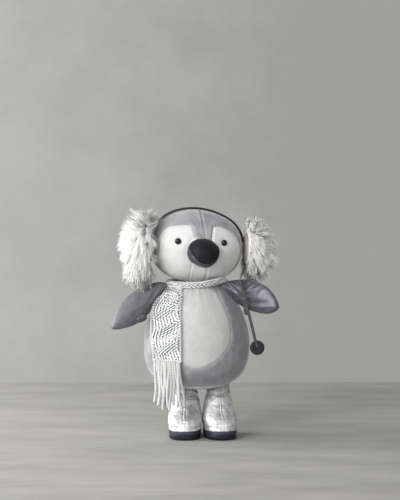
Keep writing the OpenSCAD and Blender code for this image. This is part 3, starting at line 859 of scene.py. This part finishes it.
def wing_shape(co, side):
    """Bends the shoulder end forwards, round the front of the body."""
    spacing = 0.5
    line = np.arange(-30, STRAIGHT_FROM + spacing, spacing)
    lean = WING_BEND[side] * (1 - step(line, -26, 30))
    # positions along the bent line, measured back from where it joins the straight part
    dx, dy = (np.cumsum(f(lean)[::-1])[::-1] * spacing for f in (np.cos, np.sin))
    u = np.minimum(co[:, 0], STRAIGHT_FROM)
    out = co.copy()
    out[:, 0] = STRAIGHT_FROM - np.interp(u, line, dx) + (co[:, 0] - u)
    out[:, 1] = co[:, 1] - np.interp(u, line, dy)
    return out


def wing_creases(co, side):
    """Folds where the arm leaves the shoulder, and soft drag lines across the mitten."""
    u, v = co[:, 0], co[:, 2]
    # each fold: height, where and how steeply it crosses, its width, and where it fades out
    folds = [(-1.9, 1 - 0.22 * (u - 8), 1.6, bump(u - 4, 20)),
             (-1.5, -7 - 0.30 * (u - 8), 1.5, bump(u - 4, 17)),
             (1.0, -3 - 0.26 * (u - 8), 2.4, bump(u - 4, 18))]
    if side > 0:
        folds += [(-2.2, 0.42 * (u - 62) - 12, 2.2, bump(u - 62, 20)),
                  (1.9, 0.42 * (u - 62) - 6, 4.0, bump(u - 62, 17))]
    else:
        folds += [(-1.0, 0.30 * (u - 36) - 5, 2.0, bump(u - 38, 15))]
    lift = sum(high * bump(v - line, width) * fade for high, line, width, fade in folds)
    if side > 0:
        # the thread that holds the pole gathers the mitten's top edge
        for at, slope, deep, top in ((26, 0.5, 2.6, 2), (40, -0.5, 2.4, 10), (50, -1.0, 2.1, 4),
                                     (60, -0.2, 1.6, 8)):
            lift -= deep * bump((u - at) + slope * (v - 16), 2.0) * bump(v - top, 15)
    return lift + 0.8 * noise(co / (9, 9, 5)) * bump(u - 8, 20)


def place_wing(co, side):
    """From the wing's own place to the row frame."""
    q = turn(turn(co, WING_DROP[side], "y"), -WING_REACH[side], "z")
    return q * (side, 1, 1) + WING_ROOT[side]


def build_wing(side):
    """A stuffed mitten: two layers sewn round the edge, blown up and bent round the body."""
    name = SIDE_NAME[side] + "_wing"
    u, v, share = leaf(WING_EDGE[side])
    nu, nv = u.shape
    across = np.sin(math.pi * share) ** 0.6
    along = np.sin(math.pi * (0.04 + 0.92 * np.linspace(0, 1, nu))) ** 0.5
    thick = WING_HALF_THICK * along[:, None] * across
    # the layers share the points of their rim, which lie in the middle plane
    rim = np.ones((nu, nv), bool)
    rim[1:-1, 1:-1] = False
    thick[rim] = 0
    index = np.arange(nu * nv)
    back_index = np.where(rim.reshape(-1), index, index + nu * nv)
    quads = grid_faces(nu, nv, wrap=False)
    co = np.concatenate([points(u, -thick, v), points(u, thick, v)])
    co, faces = compact(co, [quads, back_index[quads][:, ::-1]])
    soft = make(name + "_soft", co, faces, SATIN)
    co = inflate(soft)
    bpy.data.objects.remove(soft)
    fill = wing_shape(WING_MIDDLE + (co - WING_MIDDLE) * (0.93, 0.74, 0.88), side)
    piece(name + "_stuffing", place_wing(fill, side), faces, FILL, name, "filling",
          [name + "_filling"])
    n = normals(co, triangles(np.concatenate(faces)))
    edge = outline_distance(co[:, [0, 2]], rounded(WING_EDGE[side], 2))
    lift = fbm(co / 18.0 + side) + wing_creases(co, side)
    lift += 0.9 * noise(co / 4.5 + 2) * bump(edge, 5)
    co = co + n * (lift * step(-edge, 0.3, 5))[:, None]
    co = place_wing(wing_shape(co, side), side)
    start = place_wing(wing_shape(np.array([BLEND_START]), side), side)[0] * MM
    end = place_wing(np.array([BLEND_END]), side)[0] * MM
    for part, layer in zip(("front", "back"), faces):
        obj = piece("%s_%s_cloth" % (name, part), co, layer, WING_CLOTH[side], None, "grey_plush",
                    ["%s_%s" % (name, part)])
        sub = obj.modifiers.new("smooth", "SUBSURF")
        sub.levels = sub.render_levels = 1
        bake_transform(obj)


def build_thumb(side, size, u, v, dip):
    """A short stuffed thumb with a seam round it, in front of the mitten's lower edge."""
    rows, cols = 44, 48
    t, a = grid(math.pi * np.linspace(0.01, 0.99, rows), around(cols))
    r = THUMB_R * size * np.sin(t) ** 0.6 * (1 + 0.10 * np.cos(t))
    r = r + 0.6 * bump(np.cos(a) ** 2 - 1, 0.03)
    co = points(-THUMB_HALF_L * size * np.cos(t), 0.62 * r * np.sin(a), r * np.cos(a))
    co += 0.3 * noise(co / 4 + side)[:, None]
    co = place_wing(turn(co, math.radians(dip), "y") + (u, THUMB_FRONT, v), side)
    who = SIDE_NAME[side]
    # the thumb's cloth is darkened with painted shade, for the mitten's shadow over it
    piece(who + "_thumb_mitt", co, grid_faces(rows, cols), PAINTED_SHADE_PLUSH, who + "_wing", "grey_plush",
          [who + "_thumb"])


# ---- boots

SOLE_H = box_mm("right_boot_sole")[1][2]
BOOT_TOP = 88
# heights, and how far the toe, the heel and the sides stand out from the leg's axis there
BOOT_Z = [9.5, 17, 24, 31, 36, 42, 52, 59, 66, 76, BOOT_TOP]
BOOT_TOE = [-51.8, -51.4, -49.2, -44.0, -37.8, -30.0, -22.0, -20.0, -18.5, -17.0, -15.5]
BOOT_HEEL = [25.2, 25.2, 24.8, 24.0, 23.4, 22.6, 21.0, 20.0, 18.5, 16.5, 15.0]
BOOT_HALF = [24.4, 25.0, 25.9, 26.2, 25.6, 24.3, 22.2, 21.0, 19.2, 16.6, 15.0]
TOE_OUT = {-1: math.radians(-2), 1: math.radians(9)}
# the sole's outline: middle in Y, half width and half length, and how boxy it is
SOLE_MID, SOLE_HALF_W, SOLE_HALF_L, SOLE_POWER = -13.2, 24.6, 38.6, 2.7
WELT_TOP = 13.6


def oval(half_x, half_y, power, cols):
    """X and Y round an outline between an ellipse and a box."""
    a = around(cols)
    return half_x * signed_power(np.cos(a), 2 / power), half_y * signed_power(np.sin(a), 2 / power)


def boot_ring(z, cols):
    """One ring of the boot at a height, about the leg's axis, with the toe to -Y."""
    toe, heel, half_w = (np.interp(z, BOOT_Z, row) for row in (BOOT_TOE, BOOT_HEEL, BOOT_HALF))
    x, y = oval(half_w, (heel - toe) / 2, 2.1 + 0.6 * step(-z, -48, -24), cols)
    return np.stack([x, y + (toe + heel) / 2, np.full(cols, z)], 1)


def sole_ring(share, z, spring, cols):
    """One ring of the sole or the welt, which spring up towards the toe."""
    x, y = oval(SOLE_HALF_W * share, SOLE_HALF_L * share, SOLE_POWER, cols)
    y = y + SOLE_MID
    return np.stack([x, y, z + step(-y, 12, 54) * (spring + 1.4 * (1 - z / 20))], 1)


def build_boot(side):
    """A bell-shaped boot of crinkled foil with a raised front seam and an ankle in folds."""
    who = SIDE_NAME[side]
    lo, hi = box_mm(who + "_leg_rod")
    heel = (*(lo[:2] + hi[:2]) / 2, 0)
    seed = {-1: 1, 1: 2}[side]
    rows, cols = 120, 220
    co = np.concatenate([boot_ring(z, cols) for z in np.linspace(SOLE_H - 0.5, BOOT_TOP, rows)])
    x, y, z = co.T
    n = normals(co, triangles(grid_faces(rows, cols)))
    p = co + seed * 57.0
    lift = 1.0 * (ridged(p / (15, 15, 26)) - 0.5)
    lift += 0.6 * (ridged(p / (12, 12, 3.2) + 3) - 0.5)
    # the ankle gathers in deep sideways folds, with one ring pulled in
    lift += step(z, 52, 66) * 4.2 * noise(co / (16, 16, 5) + seed * 3)
    lift -= 2.6 * bump(z - 66 - 2.5 * noise(p / 18), 1.8)
    # a crease round the toe, above the welt
    lift -= 0.9 * bump(z - 20 - 3 * noise(p / 9), 1.3) * step(-y, 8, 24)
    # raised seam down the front
    front = y < -4
    near = x - 1.5 * noise_at(z / 12, 0, 0, seed)
    lift += front * (0.8 * bump(near, 0.9) - 0.6 * bump(np.abs(near) - 2.0, 0.8))
    lift += front * 0.8 * noise_at(x / 4, 0, z / 3.2) * bump(near, 7)
    lift *= step(z, SOLE_H - 0.5, SOLE_H + 3)
    co = co + n * lift[:, None]
    # the upper edge is turned in and goes down a little
    rings = [co]
    middle = co[-cols:, :2].mean(0)
    for share, drop in ((0.95, 1.0), (0.89, 4.0), (0.83, 9.0)):
        rings.append(co[-cols:] * (share, share, 1) + (*middle * (1 - share), -drop))
    co = turn(np.concatenate(rings), TOE_OUT[side], "z") + heel
    piece(who + "_boot_foil", co, grid_faces(rows + len(rings) - 1, cols), FOIL, "body",
          "foil_cloth", [who + "_boot_upper", who + "_leg_sleeve"])
    build_sole(side, heel)


def build_sole(side, heel):
    """A dark rubber sole that springs up at the toe, and the glossy welt round its upper edge."""
    who = SIDE_NAME[side]
    cols = 200
    rows = [(0.02, 0.0), (0.6, 0.0), (0.95, 0.0), (0.985, 0.5), (0.995, 1.4), (0.992, 4.0),
            (0.988, 7.0), (0.985, 10.2), (0.96, 11.2), (0.85, 11.4), (0.5, 11.4), (0.02, 11.4)]
    co = np.concatenate([sole_ring(share, z, 1.6 * step(z, 6.0, 9.5), cols) for share, z in rows])
    piece(who + "_sole_rubber", turn(co, TOE_OUT[side], "z") + heel, grid_faces(len(rows), cols),
          SOLE, "body", "sole", [who + "_boot_sole"])
    # the welt is deepest on each boot's right side, and narrow round the heel
    x, y, _ = sole_ring(1.0, 0.0, 0.0, cols).T
    low = 4.0 + 3.6 * step(x, -23, 4) - 1.0 * step(x, 12, 24)
    low = low + (8.0 - low) * step(y, -20, 10)
    rings = [sole_ring(0.95, 0.0, 0.0, cols) + points(x * 0, x * 0, low)]
    for k in np.linspace(0, 1, 9):
        band = sole_ring(1.032 - 0.02 * abs(k - 0.5), 0.0, 0.0, cols)
        rings.append(band + points(x * 0, x * 0, low + (WELT_TOP - low) * k))
    rings.append(sole_ring(0.94, 14.0, 0.0, cols))
    co = np.concatenate(rings)
    co += 0.25 * noise(co / (4, 4, 3) + heel[0])[:, None] * (0.4, 0.4, 1)
    piece(who + "_boot_welt", turn(co, TOE_OUT[side], "z") + heel, grid_faces(len(rings), cols),
          WELT, "body", "foil_cloth")


# ---- scarf

TAIL_TOP_Z = 243.0
TAIL_LENGTH = TAIL_TOP_Z - 2 - box_mm("scarf_tail")[0][2]
FRINGE_FOOT_Z = box_mm("scarf_fringe")[0][2]
STITCH_LENGTH, STITCH_R, STITCH_SLANT = 7.0, 1.14, 0.95
PLY_PITCH, PLY_R, PLY_OUT = 13.0, 1.4, 1.05
WRAP_LO, WRAP_HI = box_mm("scarf_collar")
WRAP_OUTER = (WRAP_HI[0] - WRAP_LO[0]) / 2
WRAP_Z = (WRAP_LO[2] + WRAP_HI[2]) / 2 - 1.5
WRAP_HALF_W, WRAP_HALF_H, WRAP_CLIMB = 5.2, 4.0, 5.4


def tail_surface(u, s, off):
    """A point of the hanging tail: u runs 0 to 1 across it, and s runs 0 to 1 down it."""
    left = AXIS[0] - 49 - 20 * step(s, 0.0, 0.40) + 4 * step(s, 0.65, 1.0)
    right = AXIS[0] - 24.0 + 1.5 * step(s, 0.3, 0.0)
    x = left + (right - left) * u
    z = TAIL_TOP_Z - TAIL_LENGTH * s
    # the tail leaves the collar in a rounded fold with a hollow under it
    fold = np.hypot((x - AXIS[0] + 39) / 1.35, (z - 223)) - 8.5
    off = off + 4.0 * bump(fold, 2.8) * (z > 217) - 1.2 * bump(fold + 7, 4)
    off = off + 1.4 * noise_at(x / 17, 0, z / 24) * step(s, 0.1, 0.3)
    # it lies on the body's front
    r = body_radius(np.minimum(z, 236)) + off + 1.6
    y = AXIS[1] - np.sqrt(np.maximum(r * r - (x - AXIS[0]) ** 2, 30.0))
    return np.stack([x, y, z], -1)


def tail_frame(u, s, off):
    """The tail's surface point, and its directions across, down and outwards."""
    p = tail_surface(u, s, off)
    across = unit(tail_surface(u + 0.01, s, off) - p)
    down = unit(tail_surface(u, s + 0.004, off) - p)
    return p, across, down, unit(np.cross(across, -down))


def stitch_grain():
    """Points and faces of one stitch leg: a small tapered grain along X, one unit long."""
    rings, sides = 5, 6
    t, a = grid(np.linspace(-1, 1, rings), around(sides))
    r = np.sqrt(np.maximum(1 - t ** 4 * 0.85, 0.02))
    return points(t / 2, r * np.cos(a), r * np.sin(a)), grid_faces(rings, sides)


def build_scarf_tail():
    """A knitted tail: a thin ground sheet, dark with painted shade for the gaps between stitches,
    and chunky stitches lying on it in a zigzag lace.
    """
    rows, cols = 90, 40
    count = rows * cols
    s, u = (g.reshape(-1) for g in grid(np.linspace(0, 1, rows), np.linspace(0, 1, cols)))
    co = np.concatenate([tail_surface(u, s, 1.0), tail_surface(u, s, 0.0)])
    quads = grid_faces(rows, cols, wrap=False)
    faces = [quads, quads[:, ::-1] + count]
    index = np.arange(count).reshape(rows, cols)
    for line in (index[0], index[-1][::-1], index[:, 0][::-1], index[:, -1]):
        faces.append(np.stack([line[:-1], line[1:], line[1:] + count, line[:-1] + count], 1))
    ground = piece("scarf_tail_ground", co, faces, KNIT_PAINTED_SHADE, "scarf_tail", "knit", ["scarf_tail"])
    rng = np.random.default_rng(8)
    lace = Pile()
    grain, faces = stitch_grain()
    wales, courses = 9, 34
    w, c = (g.reshape(-1) for g in grid(np.arange(wales), np.arange(courses)))
    s = (c + 0.5) / courses
    # the zigzag drifts sideways as it runs down the tail
    u = (w + 0.5 + 0.45 * np.sin(2 * math.pi * s * 2.3)) / (wales + 0.4)
    s = np.clip(s + 0.35 / courses * np.sin(u * 9 + c * 0.7), 0, 1)
    slants = np.where((2 * c + w) // 8 % 2 == 0, 1.0, -1.0)
    for p, across, down, out, slant in zip(*tail_frame(np.clip(u, 0.02, 0.98), s, 1.9), slants):
        angle = slant * STITCH_SLANT + rng.normal(0, 0.16)
        along = down * math.cos(angle) + across * math.sin(angle)
        side = np.cross(along, out)
        long, thick = STITCH_LENGTH + rng.normal(0, 0.6), STITCH_R + rng.normal(0, 0.12)
        # one end of each leg stands up, to go over its neighbour
        rise = grain[:, 2:] * thick * 0.9 + grain[:, :1] * slant * 1.05
        lace.add(p + grain[:, :1] * long * along + grain[:, 1:2] * thick * side + rise * out, faces)
    # rolled selvedges, made of slanting loops
    loops, bend = 30, np.linspace(-0.7, 0.7, 7)
    for edge, sign, radius in ((0.0, -1, 1.6), (1.0, 1, 2.7)):
        for k in range(loops):
            p, across, down, out = tail_frame(bend * 0 + edge, bend * 0 + (k + 0.5) / loops, 1.6)
            path = p + down * (bend * 2.6)[:, None]
            path += across * (sign * (np.cos(bend * 1.9) - 0.6) * radius)[:, None]
            path += out * (np.sin(bend * 2.2) * radius * 0.8 + radius * 0.4)[:, None]
            lace.add(*tube(path, 1.0))
    lace = piece("scarf_tail_stitches", *lace.mesh(), KNIT, "scarf_tail", "knit")
    return ground, lace


def build_fringe():
    """Thick soft three-ply strands of uneven length, knotted into the tail's hem."""
    rng = np.random.default_rng(14)
    pile = Pile()
    count = 12
    t = np.linspace(0, 1, 40)
    knot = around(12)
    for k in range(count):
        u = (k + 0.6) / (count + 0.2)
        start = tail_surface(np.array([u]), np.array([0.975]), 1.6)[0]
        length = start[2] - FRINGE_FOOT_Z - rng.uniform(-3, 9) - (4 if k < 3 else 0)
        drift = 9.0 * max(0, u - 0.55) / 0.45 + rng.normal(0, 1.6)
        curl = rng.uniform(0, 6.28)
        x = start[0] + drift * t ** 1.5 + 2.3 * np.sin(curl + 5.2 * t) * t ** 0.7
        y = start[1] + 3.0 * t ** 1.3 + rng.normal(0, 1.5) * t + 1.2 * np.cos(curl + 4.3 * t) * t
        middle = points(x, y, start[2] - length * t)
        thin = (1.0 - 0.25 * (t > 0.95)) * (0.85 + 0.15 * np.minimum(1, t * 8))
        radius = PLY_R * thin * (1 + 0.05 * np.sin(t * 50 + k))
        for ply in around(3):
            a = 2 * math.pi * length / PLY_PITCH * t + ply + curl
            twist = PLY_OUT * points(np.cos(a), np.sin(a), a * 0)
            pile.add(*tube(middle + twist, radius, 7))
        ring = points(2.1 * np.cos(knot), 1.7 * np.sin(knot), 0.7 * np.sin(2 * knot) - 1.5)
        pile.add(*tube(start + ring, 1.2, closed=True))
    return piece("scarf_fringe_yarn", *pile.mesh(), YARN, "scarf_tail", "yarn", ["scarf_fringe"])


def collar_point(a, b, grow):
    """A point of the wrap's roll: a runs round the neck and b round the roll's own section."""
    wobble = noise_at(np.cos(a) * 3, np.sin(a) * 3, 0)
    # the wrap climbs over the penguin's left shoulder
    climb = WRAP_CLIMB * bump(np.angle(np.exp(1j * (a + 0.55))), 0.62)
    r = WRAP_OUTER - 6.5 + (WRAP_HALF_W + grow) * np.cos(b) + 0.6 * wobble - 0.15 * climb
    z = WRAP_Z + climb + 1.2 * wobble + (WRAP_HALF_H + grow) * np.sin(b)
    return np.stack([AXIS[0] + r * np.cos(a), AXIS[1] + r * np.sin(a), z], -1)


def build_collar():
    """The scarf's wrap: a soft flattened roll, dark with painted shade for the gaps between
    stitches, with three rows of slanting stitches on it.
    """
    rows, cols = 26, 260
    b, a = (g.reshape(-1) for g in grid(around(rows), around(cols)))
    # the roll under the braid is dark with painted shade, seen in the slits between strands
    piece("scarf_wrap", collar_point(a, b, 0.0), grid_faces(rows, cols, loop=True)[:, ::-1],
          KNIT_PAINTED_SHADE, "body", "knit", ["scarf_collar"])
    braid = Pile()
    rng = np.random.default_rng(31)
    count = 46
    t = np.linspace(-1, 1, 9)
    for row, (middle, slant) in enumerate(((1.3, -1), (0.35, 1), (-0.65, -1))):
        for k in range(count):
            turns = (k + 0.5 * (row % 2)) / count
            arc = turns * 2 * math.pi + rng.normal(0, 0.008) + t * 0.080
            section = middle + slant * t * 0.46 + rng.normal(0, 0.05)
            path = collar_point(arc, section, 0.5 - 0.5 * t ** 2)
            braid.add(*tube(path, 1.3 * np.sqrt(1 - 0.85 * t ** 4)))
    # a thin rolled edge along the top
    braid.add(*tube(collar_point(around(240), np.full(240, 1.75), 0.6), 0.9, closed=True))
    piece("scarf_wrap_braid", *braid.mesh(), KNIT, "body", "knit")


# ---- earmuffs

BAND_GAP = 2.6  # from the head's own outline to the middle of the band
BAND_HALF_W, BAND_HALF_T = 3.9, 1.8
MUFF_OUT, PAD_OUT = 8.8, 3.9  # how far the muff's middle and the pad are outside of the head
FUR_LENGTH, FUR_HALF_W = 23, 0.30


def build_band():
    """The thin sprung band over the crown, covered in black cloth."""
    steps, sides = 140, 16
    a = np.radians(np.linspace(6, 174, steps))
    x = (HEAD_RX + BAND_GAP) * signed_power(np.cos(a), 2 / HEAD_POWER)
    z = (HEAD_R + BAND_GAP) * np.sin(a) ** (2 / HEAD_POWER)
    path = points(x, x * 0, z)
    outward = np.cross((0, 1, 0), unit(np.gradient(path, axis=0)))
    b = around(sides)
    wide = BAND_HALF_W * signed_power(np.cos(b), 0.7)
    tall = BAND_HALF_T * signed_power(np.sin(b), 0.8)
    tall = tall + 0.18 * noise_at(x / 4, z / 4, 0)[:, None]
    co = path[:, None] + wide[:, None] * (0, 1, 0) + tall[..., None] * outward[:, None]
    piece("headband_cloth", head_point(co.reshape(-1, 3)), grid_faces(steps, sides), BAND,
          "earmuffs", "band", ["headband"])


def fur_surface(n, size):
    """Where the pile is rooted on the muff's stuffed shell, for a direction out of the ear."""
    return size * points(6 + 16 * np.maximum(n[:, 0], -0.42), 28 * n[:, 1], 31 * n[:, 2] - 1)


def fur_place(co, side, shift):
    """From the muff's own place beside the ear to the row frame."""
    return head_point((co + (HEAD_RX + MUFF_OUT, 0, 0)) * (side, 1, 1) + shift)


def set_fur_layers(obj, *layers):
    """Stores the values that the fur's material reads at each point."""
    for key, values in zip(FUR_LAYERS, layers):
        layer = obj.data.attributes.new(key, "FLOAT", "POINT")
        layer.data.foreach_set("value", np.asarray(values, np.float32))


def build_fur(side, seed, shift, size):
    """One ball of long silky fur: locks of fine tapering strands that bow over and hang."""
    who = SIDE_NAME[side]
    right = side < 0
    rng = np.random.default_rng(seed)
    tufts, per, steps = 420, 46, 6
    total = tufts * per
    tuft = np.repeat(np.arange(tufts), per)
    k = np.arange(tufts) + 0.5
    polar = np.arccos(1 - k / tufts * 1.34)
    spin = k * math.pi * (3 - math.sqrt(5)) + rng.normal(0, 0.06, tufts)
    n = points(np.cos(polar), np.sin(polar) * np.cos(spin), np.sin(polar) * np.sin(spin))
    jitter = rng.normal(0, 2.6, (total, 3)) * (0.3, 1, 1)
    root = fur_surface(n, size)[tuft] + jitter
    facing = unit(n[tuft] + jitter / 34)
    # the pile is brushed down on the right muff, and outwards and down on the left one
    brush = np.array([0.15, 0, -1.0] if right else [0.9, 0, -0.5])
    combed = brush - facing * (facing @ brush)[:, None]
    lean = facing * 0.85 + combed * (0.6 if right else 0.35)
    lean = unit(lean + rng.normal(0, 0.09, (total, 3)) + rng.normal(0, 0.22, (tufts, 3))[tuft])
    low = np.clip(-n[:, 2], 0, 1)
    length = FUR_LENGTH + 2.5 * rng.normal(size=tufts) + (8 if right else 1) * low
    # the pile is short where it meets the face
    length = length * (1 - 0.35 * step(-n[:, 0], -0.45, 0.1) * step(-n[:, 1], -0.2, 0.5))
    length = length[tuft] * size * rng.uniform(0.70, 1.10, total)
    if right:
        # a few locks stand up at the top, beside the band
        length = length * np.where((n[:, 2] > 0.75) & (n[:, 0] < 0.5), 1.4, 1.0)[tuft]
    t = np.linspace(0, 1, steps)
    sag = rng.uniform(0.35, 0.8, tufts)[tuft] * (1 - 0.45 * np.clip(n[tuft][:, 2], 0, 1))
    curl = rng.normal(0, 3.4 if right else 2.2, (tufts, 3))[tuft]
    wave = rng.normal(size=(total, 3))
    phase = rng.uniform(0, 6.28, total)[:, None]
    drop = sag[:, None] * length[:, None] * t ** 2 * 0.62
    path = (root[:, None] + lean[:, None] * (length[:, None] * t)[..., None]
            - drop[..., None] * (0, 0, 1) + curl[:, None] * (t ** 2)[:, None]
            + wave[:, None] * (0.45 * np.sin(phase + 5 * t) * t)[..., None])
    # strands of one lock close up towards its tip
    centre = path.reshape(tufts, per, steps, 3).mean(1)[tuft]
    close = ((0.32 if right else 0.2) * t ** 1.6)[:, None]
    path = path * (1 - close) + centre * close
    # each strand's flat side looks outwards, with some twist
    tangent = unit(np.gradient(path, axis=1))
    wide = unit(np.cross(tangent, facing[:, None] + rng.normal(0, 0.45, (total, 1, 3))))
    wide *= FUR_HALF_W * (1 - t ** 2 * 0.85)[:, None]
    co = np.stack([path - wide, path + wide], 2).reshape(-1, 3)
    base = ((np.arange(total) * steps * 2)[:, None] + np.arange(steps - 1) * 2).reshape(-1)
    quads = np.stack([base, base + 1, base + 3, base + 2], 1)
    fur = piece(who + "_fur_pile", fur_place(co, side, shift), quads[:, ::side], FUR, "earmuffs",
                "fur", [who + "_muff_fur"])
    # the pile is shaded as one soft surface: each strand faces the way its lock does
    soft = facing * 0.7 + lean * 0.3 + (0.1 if right else -0.5, -0.75, 0.4)
    soft = unit(fur_place(soft, side, shift) - fur_place(soft * 0, side, shift))
    soft = np.repeat(soft, steps * 2, axis=0)
    fur.data.normals_split_custom_set_from_vertices(soft.tolist())
    tone = rng.uniform(0, 1, tufts)[tuft] * 0.5 + rng.uniform(0, 0.5, total)
    set_fur_layers(fur, np.tile(np.repeat(t, 2), total), np.repeat(tone, steps * 2))
    build_muff_shell(side, shift, size)


def build_muff_shell(side, shift, size):
    """The stitched shell under the pile, with the tan pad that rests on the ear."""
    who = SIDE_NAME[side]
    rows, cols = 44, 90
    bend, a = grid(np.linspace(0.001, 1, rows) * 2.45, around(cols))
    n = points(np.cos(bend), np.sin(bend) * np.cos(a), np.sin(bend) * np.sin(a))
    co = fur_surface(n, size) + n * 1.5
    co += 1.2 * noise(co / 4)[:, None] * n
    core = piece(who + "_fur_skin", fur_place(co, side, shift), grid_faces(rows, cols), FUR,
                 "earmuffs", "fur")
    set_fur_layers(core, np.full(len(co), 0.3), np.full(len(co), 0.5))
    # the pad: a soft disc with a rolled rim
    profile = rounded_line([(0.5, 0.4), (10, 0.2), (17, 0.5), (20.5, 1.8), (22, 4.2), (21, 6.4),
                            (17, 7.6), (0.5, 7.8)])
    cols = 72
    co = lathe(profile, cols)[:, [2, 0, 1]]
    co[:, 0] += HEAD_RX + PAD_OUT + 0.35 * noise(co / 4)
    piece(who + "_pad_cloth", head_point(co * (side, 1, 1)), grid_faces(len(profile), cols),
          BACKING, "earmuffs", "muff_backing", [who + "_muff_pad"])


# ---- ski pole

ROD_R = 2.15
CAP_R = 2.8


def build_pole():
    """The rod with its end cap, the domed felt basket, and the tie's thread."""
    co = cad_points("ski_pole_rod")
    top = co[co[:, 2] > co[:, 2].max() - 3].mean(0)
    foot = co[co[:, 2] < co[:, 2].min() + 3].mean(0)
    down = unit(foot - top)
    t = np.linspace(0, 1, 60)
    co, faces = tube(top + (foot - top) * t[:, None], ROD_R + 0.06 * np.sin(t * 40), 24)
    piece("pole_rod", co, faces, POLE, "ski_pole", "pole", ["ski_pole_rod"])
    radius = CAP_R * np.sqrt(np.clip(1 - np.linspace(1.0, -0.2, 16) ** 4 * 0.8, 0.05, 1))
    co, faces = tube(top - down * np.linspace(4.2, -0.5, 16)[:, None], radius, 24)
    piece("pole_cap", co, faces, POLE, "ski_pole", "pole", ["ski_pole_cap"])
    lo, hi = box_mm("ski_pole_basket")
    edge = (hi[0] - lo[0]) / 2
    profile = rounded_line([(0.2, -4.6), (4, -4.5), (8, -4.0), (10.6, -2.8), (edge, -0.8),
                            (edge, 1.2), (10.4, 3.2), (7, 4.0), (0.2, 4.2)])
    cols = 90
    x, z, y = lathe(profile, cols).T
    # the rod's end presses a groove into the felt, from the rim to the middle
    along = x * down[0] + z * down[2]
    aside = x * down[2] - z * down[0]
    y = y + 2.6 * bump(aside, 2.4) * step(-along, -3, 1) * (y < 0)
    co = points(x, y, z)
    co += 0.25 * noise(co / 2.2)[:, None]
    piece("pole_basket", co + (lo + hi) / 2, grid_faces(len(profile), cols), FELT, "ski_pole",
          "felt", ["ski_pole_basket"])
    set_material("ski_pole_tie", THREAD)


# ---- inner pieces that keep their CAD shape, each with its own material

HIDDEN = {
    FILL: ["body_filling", "neck_plug", "right_boot_filling", "left_boot_filling"],
    BOARD: ["base_board", "right_boot_insole", "left_boot_insole"],
    COTTON: ["pellet_bag"],
    WOOD: ["right_leg_rod", "left_leg_rod"],
    WIRE: ["right_wing_wire", "left_wing_wire"],
    NYLON: ["right_eye_washer", "left_eye_washer"],
}


# ---- stage, light and camera

FLOOR_HALF = 4000
FLOOR_END = 565.0
CAMERA_DISTANCE = 2.6
CAMERA_TILT = math.radians(4.0)
VIEW_HEIGHT = 0.7825  # metres seen from top to bottom at the penguin
SENSOR = 24


def build_stage():
    """A plain pale floor that ends a little behind the penguin, before the studio's pale grey."""
    mat, tree, shader = new_material("pale_floor", Roughness=0.85)
    drift = noise_node(tree, (200, 60, 60), 7, 0.6)
    put(shader, Base_Color=ramp(tree, drift, (0.36, (0.285, 0.283, 0.264)),
                                (0.64, (0.355, 0.352, 0.33))))
    co = np.array([(-FLOOR_HALF, -FLOOR_HALF, 0), (FLOOR_HALF, -FLOOR_HALF, 0),
                   (FLOOR_HALF, FLOOR_END, 0), (-FLOOR_HALF, FLOOR_END, 0)], float)
    make("floor", co, np.array([[0, 1, 2, 3]]), mat, smooth=False)


def build_world():
    """Soft studio surroundings: pale plaster grey, a little darker on the penguin's left."""
    world = bpy.data.worlds.new("studio")
    bpy.context.scene.world = world
    world.use_nodes = True
    tree = world.node_tree
    place = node(tree, "TexCoord").outputs["Generated"]
    grain = node(tree, "TexNoise", Scale=22.0, Detail=7.0, Roughness=0.62, Vector=place)
    across = node(tree, "MapRange", From_Min=-0.16, From_Max=0.20,
                  Value=node(tree, "SeparateXYZ", Vector=place).outputs["X"])
    shade = add(tree, across.outputs["Result"], grain.outputs["Fac"], 0.55)
    put(tree.nodes["Background"], Strength=1.0,
        Color=ramp(tree, shade, (0.22, (0.53, 0.535, 0.51)), (0.85, (0.35, 0.347, 0.325))))


def place_object(name, data, place, target):
    """Adds an object at place, looking at target, both in metres."""
    obj = bpy.data.objects.new(name, data)
    obj.location = place
    obj.rotation_euler = (Vector(target) - Vector(place)).to_track_quat("-Z", "Y").to_euler()
    bpy.context.scene.collection.objects.link(obj)
    return obj


def area_light(name, place, target, size, power, colour):
    data = bpy.data.lights.new(name, "AREA")
    data.shape = "DISK"
    data.size, data.energy, data.color = size, power, colour
    place_object(name, data, place, target).visible_camera = False


def build_camera():
    target = (AXIS[0] * MM + 0.0055, 0.0, 0.2937)
    data = bpy.data.cameras.new("camera")
    data.sensor_fit = "VERTICAL"
    data.sensor_height = SENSOR
    data.lens = SENSOR * CAMERA_DISTANCE / VIEW_HEIGHT
    data.clip_end = 30
    place = (target[0], -CAMERA_DISTANCE * math.cos(CAMERA_TILT),
             target[2] + CAMERA_DISTANCE * math.sin(CAMERA_TILT))
    bpy.context.scene.camera = place_object("camera", data, place, target)
    bpy.context.scene.view_settings.view_transform = "Standard"


area_light("key", (-1.4, -1.8, 1.15), (0, 0, 0.22), 2.0, 58, (1.0, 0.99, 0.975))
area_light("edge", (-1.5, 0.1, 0.6), (0, 0, 0.2), 0.8, 28, (1.0, 1.0, 1.0))
area_light("fill", (0.5, -2.6, 0.35), (0, 0, 0.25), 1.6, 18, (0.97, 0.98, 1.0))
build_world()
build_camera()
build_stage()
build_body()
build_head()
build_head_stuffing()
build_eyes()
build_beak()
build_wing(-1)
build_wing(1)
build_thumb(-1, 1.0, 50, -20.5, -14)
build_thumb(1, 0.8, 41, -27, 62)
build_boot(-1)
build_boot(1)
ground, lace = build_scarf_tail()
fringe = build_fringe()
build_collar()
build_band()
build_fur(-1, 21, (2.0, -12.0, 2.0), 1.0)
build_fur(1, 22, (0.5, -5.0, 5.0), 0.96)
build_pole()
for material, nodes in HIDDEN.items():
    for name in nodes:
        set_material(name, material)
